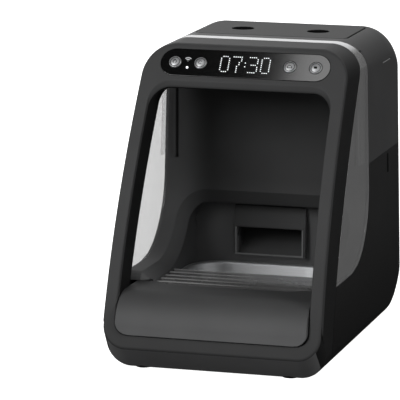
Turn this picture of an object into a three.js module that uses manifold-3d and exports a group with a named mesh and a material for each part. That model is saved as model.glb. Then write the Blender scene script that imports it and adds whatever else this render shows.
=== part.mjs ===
// A microchip pet feeder: an upright tunnel of a case with a raked front, a bowl chamber at its
// foot, a food tank behind the back wall and a control strip over the opening.
// Millimetres, +Z up. The pet eats from the -Y side. The origin is on the ground, under the
// middle of the case.

import * as THREE from 'three';
import { mergeVertices } from 'three/addons/utils/BufferGeometryUtils.js';
import Module from 'manifold-3d';

const wasm = await Module();
wasm.setup();

// Driving dimensions. A side, inset, drop or gap is measured from the piece that it follows.

const CLEARANCE = 0.3;
const OVERRUN = 6;
const CASE = {
  height: 321.5, underside: 5, front: -186, rear: 186, wall: 2.5,
  halfWidthFoot: 117.7, sideLean: 7.5,
  footCorner: 19, topCorner: 33,
  rearTopCorner: 48, rearFootCorner: 62, rearPlanCorner: 18,
};
const FACE = {
  footZ: 23.8, topInsetY: 144.2, bow: 20, edgeRound: 3, edgeInset: 1.2, topInset: 2,
  footCorner: 24, topCorner: 28,
};
const FRAME = {
  depthFoot: 48, depthTop: 63.5, topSeamY: 5, seamBlend: 8, wall: 2.5, frontWall: 3,
  lipDepth: 5, lipInset: 0.8, lipDrop: 9, seamGap: 0.6, throatFoot: 36, throatTop: 46.5,
};
const OPENING = { sideFoot: 13.7, sideTop: 13, bottom: 37.5, topDrop: 35.1, footCorner: 13, topCorner: 22 };
const WINDOW = { wall: 3, rearY: 30, sweep: 81 };
const SEAM = { drop: 131.5 };
const GUIDE = { wall: 1.5, depth: 26.7, rise: 2.5 };
const RIB = { side: 6.7, width: 5.5, depth: 3, drop: 3, topDrop: 21.5 };
const LINER = { wall: 2.5, setback: 4, noseRound: 7.2, railZ: 42 };
const ARCH = { side: 31.7, top: 142.5, corner: 22 };
const CHAMBER = { wall: 2.5, setback: 2, rearY: 53 };
const MOUTH = {
  halfWidth: 36.5, bottom: 80, height: 30.3, depth: 8, frame: 3.5, hoodDrop: 8.5, hoodSlope: 5,
};
const DECK = { top: 79.5, wall: 3, frontRound: 33, depth: 78, lip: 3.4, mouthInset: 0.6, mouthCorner: 28 };
const APRON = { gap: 0.4, wall: 3 };
const TRAY = { side: 1.4, lead: 7.6, lift: 0.8, rearGap: 0.8, corner: 45, wall: 3.5, floor: 2.5 };
const BOWL = { rim: 1, flange: 5, sheet: 1.2, floorInset: 12, inset: 0.6 };
const RAIL = { inset: 21.6, width: 10, frontInset: 0.6, rearInset: 5.2 };
const LEAF = {
  overlap: 1.4, gap: 0.4, frontInset: 36, length: 120, stopGap: 17, plate: 1.7,
  rib: 1.1, ribPitch: 15.5, ribWidth: 9,
};
const TAIL = { gap: 0.4, frontInset: 28, length: 100, plate: 1.4 };
const GEAR = {
  module: 1, teeth: 16, width: 4.7, clearance: 0.25, reach: 7, tipThickness: 0.5, rootThickness: 1.9,
};
const RACK = { frontInset: 34, rearInset: 6, width: 5 };
const SHUTTER_MOTOR = { radius: 9, length: 13.4, saddle: 5, saddleHalf: 10 };
const DISPENSER = {
  y: 97, z: 174, bore: 27, halfWidth: 38.5, boreHalf: 34, halfDepth: 31, bottom: 145, top: 203,
  throatHalf: 30, throatDepth: 17, dropHalf: 33, dropDepth: 19,
};
const WHEEL = { radius: 26.3, hub: 8, halfWidth: 33.5, paddles: 6, paddle: 3, shaft: 3, shaftBore: 3.3 };
const FEED_MOTOR = { radius: 17, length: 31, gearbox: 10, gearboxHalf: 20 };
const CHUTE = { wall: 2.5, depth: 29, foot: 14, shelf: 6, floorRise: 41, floor: 2.2 };
const LID = {
  side: 26.2, frontInset: 9, rearInset: 46, corner: 12, skirtInset: 2.3, skirt: 2, skirtDepth: 10.7,
  sealDrop: 1.4, sealHeight: 5,
};
const TANK = {
  gap: 0.8, wall: 2, frontGap: 0.5, funnelRise: 37, throatSpread: 4,
  topDrop: 3.1, mouthInset: 6, mouthCorner: 12,
};
const RECESS = { frontInset: 48, radius: 12, cup: 14, depth: 9, floor: 1.5 };
const DESICCANT = { halfWidth: 22, frontInset: 27, rearInset: 28, height: 18 };
const GRIP_LINE = { frontInset: 86, rearInset: 48, drop: 34, height: 1.6, depth: 0.8 };
const PANEL = { drop: 18, side: 18.6, radius: 15.7, lens: 2, proud: 0.2, ledge: 3 };
const BUTTON = { side: 15.6, pitch: 27.7, radius: 6.4, dome: 1.6, body: 2.4 };
const BOARD = { side: 7.6, halfHeight: 11.5, front: 6.9, thickness: 1.6, switchHalf: 3, switchHeight: 3.5 };
const DISPLAY = { side: 19.3, halfHeight: 9 };
const LIGHT = { side: 13.7, drop: 5.8, radius: 1.2 };
const COIL = { offset: 4, width: 3, depth: 3 };
const LATCH = { rearInset: 72.8, depth: 7.4, drop: 24.5, height: 21.4, thickness: 2.2, sunk: 0.4 };
const BASE_PLATE = { side: 37.7, frontLead: 3, rearInset: 72, corner: 10 };
const SCREW = { y: 10, headRadius: 3.2, head: 1.6, shank: 1.5, length: 12, sink: 0.3 };
const FOOT = { radius: 8, height: 4.7, side: 39.2, frontInset: 28, rearInset: 80 };
const REAR_COVER = {
  side: 47.7, bottom: 77, topDrop: 40, corner: 8, vents: 5, ventPitch: 9, ventHalf: 30, vent: 3, ventDrop: 20,
};
const JACK = { side: 20, z: 86, radius: 5.2, bore: 3.2, boreDepth: 10, length: 16 };
const MAIN_BOARD = {
  halfWidth: 33, length: 56, rearInset: 70, post: 4, postRadius: 3, thickness: 1.6, chip: 14, chipHeight: 3,
};
const SENSOR = { setback: 5, drop: 9, radius: 2, length: 3 };

// Half widths that follow the case

const halfWidthTop = CASE.halfWidthFoot - CASE.sideLean;
const archHalf = CASE.halfWidthFoot - ARCH.side;
const trayHalf = archHalf - TRAY.side;
const deckMouthHalf = trayHalf - DECK.mouthInset;
const railSpan = trayHalf - RAIL.inset;
const leafHalf = archHalf + LEAF.overlap;
const rackX = archHalf + CHAMBER.wall + CLEARANCE;
const gearX = rackX + CLEARANCE;
const basePlateHalf = CASE.halfWidthFoot - BASE_PLATE.side;
const footX = CASE.halfWidthFoot - FOOT.side;
const rearCoverHalf = CASE.halfWidthFoot - REAR_COVER.side;
const jackX = rearCoverHalf - JACK.side;
const lidHalf = halfWidthTop - LID.side;
const tankMouthHalf = lidHalf - TANK.mouthInset;
const recessX = lidHalf / 2;
const panelHalf = halfWidthTop - PANEL.side;
const buttonOuter = panelHalf - BUTTON.side;
const buttonInner = buttonOuter - BUTTON.pitch;
const boardHalf = panelHalf - BOARD.side;
const displayHalf = buttonInner - DISPLAY.side;
const lightX = buttonInner + LIGHT.side;

// Depths that follow the case's front and rear

const faceTopY = CASE.front + FACE.topInsetY;
const guideRearY = WINDOW.rearY - CLEARANCE;
const mouthFrontY = CHAMBER.rearY - MOUTH.depth;
const sensorY = mouthFrontY + SENSOR.setback;
const deckRearY = CASE.front + DECK.depth;
const linerFrontY = deckRearY + LINER.setback;
const chamberFrontY = deckRearY + CHAMBER.setback;
const trayFrontY = deckRearY - TRAY.lead;
const deckMouthY = trayFrontY - DECK.lip;
const trayRearY = CHAMBER.rearY - TRAY.rearGap;
const railFrontY = trayFrontY + RAIL.frontInset;
const railRearY = trayRearY - RAIL.rearInset;
const leafFrontY = CASE.front + LEAF.frontInset;
const leafRearY = leafFrontY + LEAF.length;
const shutterTravel = CHAMBER.rearY - LEAF.stopGap - leafRearY;
const tailFrontY = CASE.front + TAIL.frontInset;
const tailRearY = tailFrontY + TAIL.length;
const rackFrontY = leafFrontY + RACK.frontInset;
const rackRearY = leafRearY - RACK.rearInset;
const gearY = rackRearY - GEAR.reach;
const chuteRearY = DISPENSER.y + CHUTE.depth;
const lidFrontY = WINDOW.rearY + LID.frontInset;
const lidRearY = CASE.rear - LID.rearInset;
const mainBoardRearY = CASE.rear - MAIN_BOARD.rearInset;
const latchFrontY = CASE.rear - LATCH.rearInset;
const basePlateFrontY = railFrontY - BASE_PLATE.frontLead;
const basePlateRearY = CASE.rear - BASE_PLATE.rearInset;

// Heights: what lies under the lid follows the case's top, and the bowl's pieces the deck

const openingTop = CASE.height - OPENING.topDrop;
const seamZ = CASE.height - SEAM.drop;
const guideFootZ = seamZ + GUIDE.rise;
const ribFootZ = seamZ - RIB.drop;
const panelZ = CASE.height - PANEL.drop;
const gripLineZ = CASE.height - GRIP_LINE.drop;
const tankTop = CASE.height - TANK.topDrop;
const sealTop = tankTop - LID.sealDrop;
const funnelTop = DISPENSER.top + TANK.funnelRise;
const throatHalf = DISPENSER.throatHalf + TANK.throatSpread;
const throatDepth = DISPENSER.throatDepth + TANK.throatSpread;
const shoulderFoot = DECK.top + CLEARANCE;
const sillZ = shoulderFoot + LINER.noseRound;
const leafTop = DECK.top - DECK.wall - LEAF.gap;
const leafBottom = leafTop - LEAF.rib - LEAF.plate;
const tailBottom = leafBottom - CLEARANCE - TAIL.plate;
const rimTop = tailBottom - TAIL.gap;
const trayTop = rimTop - BOWL.rim - CLEARANCE;
const apronFoot = OPENING.bottom + APRON.gap;
const trayFloor = apronFoot + TRAY.lift;
const plateTop = CASE.underside + CASE.wall;
const mouthTop = MOUTH.bottom + MOUTH.height;
const hoodTop = ARCH.top - MOUTH.hoodDrop;
const sensorZ = mouthTop - SENSOR.drop;
const latchZ = seamZ - LATCH.drop;
const rearCoverTop = seamZ - REAR_COVER.topDrop;
const chuteShelfZ = MOUTH.bottom + CHUTE.floorRise;

// How finely round stretches are faceted

const STEPS = { corner: 7, side: 12, sweep: 12, circle: 28, disc: 32 };
const SMALL_ROUND = 2 * STEPS.corner;

// Materials

function finish(color, roughness, metalness = 0) {
  return new THREE.MeshStandardMaterial({ color, roughness, metalness });
}

const darkShell = finish(0x3a3a3b, 0.55);
const blackShell = finish(0x1d1d1e, 0.5);
const greyShell = finish(0x4a4a4b, 0.5);
const clearPlastic = finish(0x9a9c9e, 0.1);
clearPlastic.transparent = true;
clearPlastic.opacity = 0.4;
const smokedPlastic = finish(0x5b5b5c, 0.2);
const gloss = finish(0x0a0a0b, 0.12);
const buttonMetal = finish(0x8d8e90, 0.35, 0.7);
const steel = finish(0xb4b6b8, 0.3, 1);
const rubber = finish(0x202020, 0.9);
const seal = finish(0xc8cac8, 0.8);
const board = finish(0x1f5a3a, 0.6);
const nylon = finish(0xd9d9d2, 0.5);
const motorMetal = finish(0x8f9194, 0.4, 0.9);
const copper = finish(0xb0703a, 0.4, 1);
const whiteLight = finish(0xf2f4f6, 0.3);

// Solids: closed meshes are joined and cut here

function toSolid(geometry) {
  const bare = geometry.clone();
  for (const name of Object.keys(bare.attributes)) {
    if (name !== 'position') bare.deleteAttribute(name);
  }
  const merged = mergeVertices(bare, 1e-4);
  const mesh = new wasm.Mesh({
    numProp: 3,
    vertProperties: new Float32Array(merged.attributes.position.array),
    triVerts: new Uint32Array(merged.index.array),
  });
  return new wasm.Manifold(mesh);
}

function toGeometry(solid) {
  const mesh = solid.getMesh();
  const geometry = new THREE.BufferGeometry();
  geometry.setAttribute('position', new THREE.BufferAttribute(new Float32Array(mesh.vertProperties), 3));
  geometry.setIndex(Array.from(mesh.triVerts));
  return geometry;
}

function join(first, ...rest) {
  return rest.reduce((sum, solid) => sum.add(solid), first);
}

function cut(first, ...rest) {
  return rest.reduce((left, solid) => left.subtract(solid), first);
}

function shapeOf(points) {
  return new THREE.Shape(points.map(([a, b]) => new THREE.Vector2(a, b)));
}

function counterClockwise(points) {
  const area = THREE.ShapeUtils.area(points.map(([a, b]) => new THREE.Vector2(a, b)));
  return area < 0 ? [...points].reverse() : points;
}

function extrude(points, depth) {
  return new THREE.ExtrudeGeometry(shapeOf(counterClockwise(points)), { depth, bevelEnabled: false });
}

// points are [y, z], the solid runs from x0 to x1
function alongX(points, x0, x1) {
  const turn = new THREE.Matrix4().makeBasis(
    new THREE.Vector3(0, 1, 0), new THREE.Vector3(0, 0, 1), new THREE.Vector3(1, 0, 0));
  return toSolid(extrude(points, x1 - x0).applyMatrix4(turn).translate(x0, 0, 0));
}

// points are [x, z], the solid runs from y0 to y1
function alongY(points, y0, y1) {
  return toSolid(extrude(points, y1 - y0).rotateX(Math.PI / 2).translate(0, y1, 0));
}

// points are [x, y], the solid runs from z0 to z1
function alongZ(points, z0, z1) {
  return toSolid(extrude(points, z1 - z0).translate(0, 0, z0));
}

function box(x0, x1, y0, y1, z0, z1) {
  const geometry = new THREE.BoxGeometry(x1 - x0, y1 - y0, z1 - z0);
  return toSolid(geometry.translate((x0 + x1) / 2, (y0 + y1) / 2, (z0 + z1) / 2));
}

function cylinderX(radius, x0, x1, y, z, steps = STEPS.circle) {
  const geometry = new THREE.CylinderGeometry(radius, radius, x1 - x0, steps);
  return toSolid(geometry.rotateZ(Math.PI / 2).translate((x0 + x1) / 2, y, z));
}

function cylinderY(radius, x, y0, y1, z, steps = STEPS.circle) {
  const geometry = new THREE.CylinderGeometry(radius, radius, y1 - y0, steps);
  return toSolid(geometry.translate(x, (y0 + y1) / 2, z));
}

function cylinderZ(radius, x, y, z0, z1, steps = STEPS.circle) {
  const geometry = new THREE.CylinderGeometry(radius, radius, z1 - z0, steps);
  return toSolid(geometry.rotateX(Math.PI / 2).translate(x, y, (z0 + z1) / 2));
}

// Sections are rings of [x, y, z] with equal counts. The mesh closes on itself both ways.
function closedLoft(sections) {
  const rows = sections.length;
  const columns = sections[0].length;
  const positions = sections.flat(2);
  const index = [];
  for (let i = 0; i < rows; i += 1) {
    const next = (i + 1) % rows;
    for (let j = 0; j < columns; j += 1) {
      const after = (j + 1) % columns;
      const a = i * columns + j;
      const b = next * columns + j;
      const c = next * columns + after;
      const d = i * columns + after;
      index.push(a, b, c, a, c, d);
    }
  }
  const geometry = new THREE.BufferGeometry();
  geometry.setAttribute('position', new THREE.BufferAttribute(new Float32Array(positions), 3));
  geometry.setIndex(index);
  const solid = toSolid(geometry);
  if (solid.volume() > 0) return solid;
  geometry.setIndex(index.reverse());
  return toSolid(geometry);
}

// A block between two level rectangles [x0, x1, y0, y1]
function taperedBlock(lower, lowerZ, upper, upperZ) {
  const geometry = new THREE.BoxGeometry(1, 1, 1);
  const places = geometry.attributes.position;
  for (let i = 0; i < places.count; i += 1) {
    const isUpper = places.getZ(i) > 0;
    const [x0, x1, y0, y1] = isUpper ? upper : lower;
    const x = places.getX(i) > 0 ? x1 : x0;
    const y = places.getY(i) > 0 ? y1 : y0;
    places.setXYZ(i, x, y, isUpper ? upperZ : lowerZ);
  }
  return toSolid(geometry);
}

// Outlines

const lerp = THREE.MathUtils.lerp;

function arcPoints(cx, cy, radius, fromDegrees, toDegrees, steps) {
  const points = [];
  for (let i = 0; i <= steps; i += 1) {
    const angle = THREE.MathUtils.degToRad(lerp(fromDegrees, toDegrees, i / steps));
    points.push([cx + radius * Math.cos(angle), cy + radius * Math.sin(angle)]);
  }
  return points;
}

function roundedRectangle(x0, x1, y0, y1, radius, steps = STEPS.corner) {
  return [
    ...arcPoints(x1 - radius, y0 + radius, radius, -90, 0, steps),
    ...arcPoints(x1 - radius, y1 - radius, radius, 0, 90, steps),
    ...arcPoints(x0 + radius, y1 - radius, radius, 90, 180, steps),
    ...arcPoints(x0 + radius, y0 + radius, radius, 180, 270, steps),
  ];
}

// A front view outline with sides that lean, right side first, then its mirror image.
// half gives the half width at a height, and sideSteps divides the straight side.
function frontOutline({ half, bottom, top, footCorner, topCorner }, sideSteps = 1) {
  const footZ = bottom + footCorner;
  const topZ = top - topCorner;
  const foot = arcPoints(half(footZ) - footCorner, footZ, footCorner, -90, 0, STEPS.corner);
  const head = arcPoints(half(topZ) - topCorner, topZ, topCorner, 0, 90, STEPS.corner);
  const side = [];
  const [startX, startZ] = foot[foot.length - 1];
  const [endX, endZ] = head[0];
  for (let i = 1; i < sideSteps; i += 1) {
    side.push([lerp(startX, endX, i / sideSteps), lerp(startZ, endZ, i / sideSteps)]);
  }
  const right = [...foot, ...side, ...head];
  const left = [...right].reverse().map(([x, z]) => [-x, z]);
  return [...right, ...left];
}

const caseHalf = (z) => lerp(CASE.halfWidthFoot, halfWidthTop, z / CASE.height);
const openingHalf = (z) => caseHalf(z) - lerp(OPENING.sideFoot, OPENING.sideTop, z / CASE.height);

function caseOutline(inset, sideSteps = 1) {
  return frontOutline({
    half: (z) => caseHalf(z) - inset,
    bottom: CASE.underside + inset,
    top: CASE.height - inset,
    footCorner: CASE.footCorner - inset,
    topCorner: CASE.topCorner - inset,
  }, sideSteps);
}

// grow moves the opening's outline outward, and drop lowers only its top
function openingOutline(grow, drop, sideSteps = 1) {
  return frontOutline({
    half: (z) => openingHalf(z) + grow,
    bottom: OPENING.bottom - Math.max(grow, 0),
    top: openingTop + Math.max(grow, 0) - drop,
    footCorner: OPENING.footCorner + grow,
    topCorner: OPENING.topCorner + grow,
  }, sideSteps);
}

// The raked face, seen from the side, is a straight line with a bow in it
function faceY(z) {
  const share = Math.max((z - FACE.footZ) / (CASE.height - FACE.footZ), 0);
  return lerp(CASE.front, faceTopY, share) - 4 * FACE.bow * share * (1 - share);
}

// The frame's rear edge follows the face, and stands upright over the top
function seamY(z) {
  const raked = faceY(z) + lerp(FRAME.depthFoot, FRAME.depthTop, z / CASE.height);
  const over = raked - FRAME.topSeamY;
  return (raked + FRAME.topSeamY - Math.hypot(over, FRAME.seamBlend)) / 2;
}

// The mouth's own inner wall stops short of that edge
const throatY = (z) => faceY(z) + lerp(FRAME.throatFoot, FRAME.throatTop, z / CASE.height);

// The back wall's line in side view, offset back by some depth: upright, a sweep, then forward
const SWEEP_CENTRE = { y: WINDOW.rearY - WINDOW.sweep, z: sillZ + WINDOW.sweep };

function sweepLine(offset, topZ) {
  const radius = WINDOW.sweep + offset;
  return [
    [SWEEP_CENTRE.y + radius, topZ],
    ...arcPoints(SWEEP_CENTRE.y, SWEEP_CENTRE.z, radius, 0, -90, STEPS.sweep),
  ];
}

// The case as a closed body, from which every outer shell is cut. In plan its rear corners are
// rounded, and the rounding leans in with the sides.
const lean = (halfWidthTop - CASE.halfWidthFoot) / CASE.height;

function leaningPlan(side, inset, y0) {
  const half = CASE.halfWidthFoot - inset;
  const rear = CASE.rear - inset;
  const round = CASE.rearPlanCorner - inset;
  const outline = [
    [-2 * half, y0], [half, y0],
    ...arcPoints(half - round, rear - round, round, 0, 90, STEPS.corner),
    [-2 * half, rear],
  ].map(([x, y]) => [side * x, y]);
  const shear = new THREE.Matrix4().makeShear(0, 0, 0, 0, side * lean, 0);
  return toSolid(extrude(outline, CASE.height).applyMatrix4(shear));
}

function caseBody(inset, y0 = CASE.front - OVERRUN) {
  const rear = CASE.rear - inset;
  const top = CASE.height - inset;
  const bottom = CASE.underside + inset;
  const headRound = CASE.rearTopCorner - inset;
  const footRound = CASE.rearFootCorner - inset;
  const side = [
    [y0, bottom],
    ...arcPoints(rear - footRound, bottom + footRound, footRound, -90, 0, STEPS.corner),
    ...arcPoints(rear - headRound, top - headRound, headRound, 0, 90, STEPS.corner),
    [y0, top],
  ];
  return alongY(caseOutline(inset), y0, CASE.rear)
    .intersect(alongX(side, -CASE.halfWidthFoot, CASE.halfWidthFoot))
    .intersect(leaningPlan(1, inset, y0))
    .intersect(leaningPlan(-1, inset, y0));
}

const outerBody = caseBody(0);
const innerBody = caseBody(CASE.wall);
const outerShell = outerBody.subtract(innerBody);

const feeder = new THREE.Group();

function place(name, solid, material, parent = feeder) {
  const mesh = new THREE.Mesh(toGeometry(solid), material);
  mesh.name = name;
  parent.add(mesh);
  return mesh;
}

// The control strip has its own group, whose +Z is the face's outward normal

const panelSlope = (faceY(panelZ + CLEARANCE) - faceY(panelZ - CLEARANCE)) / (2 * CLEARANCE);
const panelGroup = new THREE.Group();
panelGroup.position.set(0, faceY(panelZ), panelZ);
panelGroup.rotation.x = Math.PI / 2 - Math.atan(panelSlope);
panelGroup.updateMatrix();
feeder.add(panelGroup);

function pill(halfLength, radius) {
  const straight = halfLength - radius;
  return [
    ...arcPoints(straight, 0, radius, -90, 90, STEPS.circle / 2),
    ...arcPoints(-straight, 0, radius, 90, 270, STEPS.circle / 2),
  ];
}

function pillSolid(inset, z0, z1) {
  return alongZ(pill(panelHalf - inset, PANEL.radius - inset), z0, z1);
}

const lensBottom = -PANEL.lens;
const recessFloor = lensBottom - CLEARANCE;
const inPanelFrame = (solid) => toSolid(toGeometry(solid).applyMatrix4(panelGroup.matrix));

// Front frame: a channel section carried round the opening, open at the back

function makeFrontFrame() {
  const outer = caseOutline(0, STEPS.side);
  const outerInside = caseOutline(FRAME.wall, STEPS.side);
  const faceEdge = frontOutline({
    half: (z) => caseHalf(z) - FACE.edgeInset,
    bottom: FACE.footZ,
    top: CASE.height - FACE.topInset,
    footCorner: FACE.footCorner,
    topCorner: FACE.topCorner,
  }, STEPS.side);
  const mouth = openingOutline(0, 0, STEPS.side);
  const throat = openingOutline(-FRAME.lipInset, FRAME.lipDrop, STEPS.side);
  const throatOutside = openingOutline(FRAME.wall - FRAME.lipInset, FRAME.lipDrop, STEPS.side);
  const at = ([x, z], y) => [x, y(z), z];
  const onFace = (depth) => (z) => faceY(z) + depth;
  const sections = outer.map((point, i) => [
    at(point, seamY),
    at(point, onFace(FACE.edgeRound)),
    at(faceEdge[i], faceY),
    at(mouth[i], faceY),
    at(throat[i], onFace(FRAME.lipDepth)),
    at(throat[i], throatY),
    at(throatOutside[i], throatY),
    at(throatOutside[i], onFace(FRAME.lipDepth + FRAME.frontWall)),
    at(outerInside[i], onFace(FACE.edgeRound + FRAME.frontWall)),
    at(outerInside[i], seamY),
  ]);
  const recess = pillSolid(-CLEARANCE, recessFloor, OVERRUN);
  const through = pillSolid(PANEL.ledge, -2 * OVERRUN, 0);
  return cut(closedLoft(sections), inPanelFrame(recess), inPanelFrame(through));
}

place('front_frame', makeFrontFrame(), darkShell);

// Clear band: it bridges the top and comes down each side to a point

function seamPoints(bottom, top, gap) {
  const points = [];
  const steps = 3 * STEPS.side;
  for (let i = 0; i <= steps; i += 1) {
    const z = lerp(bottom, top, i / steps);
    points.push([seamY(z) + gap, z]);
  }
  return points;
}

const aboveCase = CASE.height + OVERRUN;
const belowCase = -OVERRUN;
const wideX = CASE.halfWidthFoot + OVERRUN;

const windowSide = [
  ...seamPoints(sillZ, aboveCase, FRAME.seamGap),
  ...sweepLine(0, aboveCase),
];
const windowSkin = outerBody.subtract(caseBody(WINDOW.wall));
place('window_band', windowSkin.intersect(alongX(windowSide, -wideX, wideX)), clearPlastic);

// Guides for the tank: pale upright strips inside the windows

function makeGuide(side) {
  const outside = WINDOW.wall + CLEARANCE;
  const skin = caseBody(outside).subtract(caseBody(outside + GUIDE.wall));
  const x0 = side > 0 ? 0 : -wideX;
  const top = CASE.height - CASE.topCorner;
  return skin.intersect(box(x0, x0 + wideX, guideRearY - GUIDE.depth, guideRearY, guideFootZ, top));
}

place('side_guide_right', makeGuide(1), clearPlastic);
place('side_guide_left', makeGuide(-1), clearPlastic);

// Lower housing: the tub below the side seam

const lowerSide = [
  ...seamPoints(belowCase, sillZ - CLEARANCE, FRAME.seamGap),
  ...sweepLine(CLEARANCE, seamZ).reverse(),
  [CASE.rear + OVERRUN, seamZ],
  [CASE.rear + OVERRUN, belowCase],
];

function latchHole(side) {
  const x = side * CASE.halfWidthFoot;
  return box(
    Math.min(x, x - side * 2 * OVERRUN), Math.max(x, x - side * 2 * OVERRUN),
    latchFrontY, latchFrontY + LATCH.depth, latchZ, latchZ + LATCH.height);
}

function rearCoverOutline(inset) {
  return roundedRectangle(
    inset - rearCoverHalf, rearCoverHalf - inset, REAR_COVER.bottom + inset, rearCoverTop - inset,
    REAR_COVER.corner - inset);
}

function basePlateOutline(inset) {
  return roundedRectangle(
    inset - basePlateHalf, basePlateHalf - inset, basePlateFrontY + inset, basePlateRearY - inset,
    BASE_PLATE.corner - inset);
}

const rearHole = alongY(rearCoverOutline(0), CASE.rear - 2 * OVERRUN, CASE.rear + OVERRUN);
const baseHole = alongZ(basePlateOutline(0), belowCase, CASE.underside + OVERRUN);

place('lower_housing', cut(
  outerShell.intersect(alongX(lowerSide, -wideX, wideX)),
  latchHole(1), latchHole(-1), rearHole, baseHole), blackShell);

function makeLatch(side) {
  const x = side * CASE.halfWidthFoot;
  const inner = x - side * 2 * OVERRUN;
  const block = box(
    Math.min(x, inner), Math.max(x, inner),
    latchFrontY + CLEARANCE, latchFrontY + LATCH.depth - CLEARANCE,
    latchZ + CLEARANCE, latchZ + LATCH.height - CLEARANCE);
  return caseBody(LATCH.sunk).subtract(caseBody(LATCH.sunk + LATCH.thickness)).intersect(block);
}

place('side_latch_right', makeLatch(1), blackShell);
place('side_latch_left', makeLatch(-1), blackShell);

// Rear cover with vents and the inlet's hole

function makeRearCover() {
  const inside = CASE.rear - 2 * OVERRUN;
  const outside = CASE.rear + OVERRUN;
  const plate = alongY(rearCoverOutline(CLEARANCE), inside, CASE.rear).intersect(outerShell);
  const vents = [];
  for (let i = 0; i < REAR_COVER.vents; i += 1) {
    const z = rearCoverTop - REAR_COVER.ventDrop - i * REAR_COVER.ventPitch;
    vents.push(box(-REAR_COVER.ventHalf, REAR_COVER.ventHalf, inside, outside, z, z + REAR_COVER.vent));
  }
  const jackHole = cylinderY(JACK.radius + CLEARANCE, jackX, inside, outside, JACK.z);
  return cut(plate, jackHole, ...vents);
}

place('rear_cover', makeRearCover(), blackShell);

const jackBody = cylinderY(JACK.radius, jackX, CASE.rear - JACK.length, CASE.rear, JACK.z);
const jackBore = cylinderY(JACK.bore, jackX, CASE.rear - JACK.boreDepth, CASE.rear + OVERRUN, JACK.z);
place('dc_jack', jackBody.subtract(jackBore), gloss);

// Base plate, its screws, the rails that it carries, and the feet

const screwPlaces = [];
for (const side of [-1, 1]) {
  for (const y of [railFrontY + SCREW.y, railRearY - SCREW.y]) screwPlaces.push([side * railSpan, y]);
}

function makeBasePlate() {
  const plate = alongZ(basePlateOutline(CLEARANCE), CASE.underside, plateTop);
  const sunk = CASE.underside + SCREW.sink + SCREW.head + CLEARANCE;
  const holes = screwPlaces.flatMap(([x, y]) => [
    cylinderZ(SCREW.headRadius + CLEARANCE, x, y, belowCase, sunk, SMALL_ROUND),
    cylinderZ(SCREW.shank + CLEARANCE, x, y, belowCase, CASE.underside + OVERRUN, SMALL_ROUND),
  ]);
  return cut(plate, ...holes);
}

place('base_plate', makeBasePlate(), blackShell);

screwPlaces.forEach(([x, y], i) => {
  const head = CASE.underside + SCREW.sink;
  place(`base_screw_${i + 1}`, join(
    cylinderZ(SCREW.headRadius, x, y, head, head + SCREW.head, SMALL_ROUND),
    cylinderZ(SCREW.shank, x, y, head, head + SCREW.length, SMALL_ROUND)), motorMetal);
});

function makeRail(side) {
  const x = side * railSpan;
  const half = RAIL.width / 2;
  const rail = box(x - half, x + half, railFrontY, railRearY, plateTop + CLEARANCE, trayFloor - CLEARANCE);
  const holes = screwPlaces.filter(([screwX]) => screwX === x).map(([screwX, y]) => cylinderZ(
    SCREW.shank + CLEARANCE, screwX, y, CASE.underside, CASE.underside + SCREW.length + 2 * CLEARANCE,
    SMALL_ROUND));
  return cut(rail, ...holes);
}

place('tray_rail_right', makeRail(1), nylon);
place('tray_rail_left', makeRail(-1), nylon);

for (const [end, y] of [['front', CASE.front + FOOT.frontInset], ['rear', CASE.rear - FOOT.rearInset]]) {
  for (const [hand, side] of [['right', 1], ['left', -1]]) {
    const foot = cylinderZ(FOOT.radius, side * footX, y, 0, FOOT.height, STEPS.disc);
    place(`foot_${end}_${hand}`, foot, rubber);
  }
}

// Liner: the back wall, its forward sweep, and the chamber round the bowl

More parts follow.
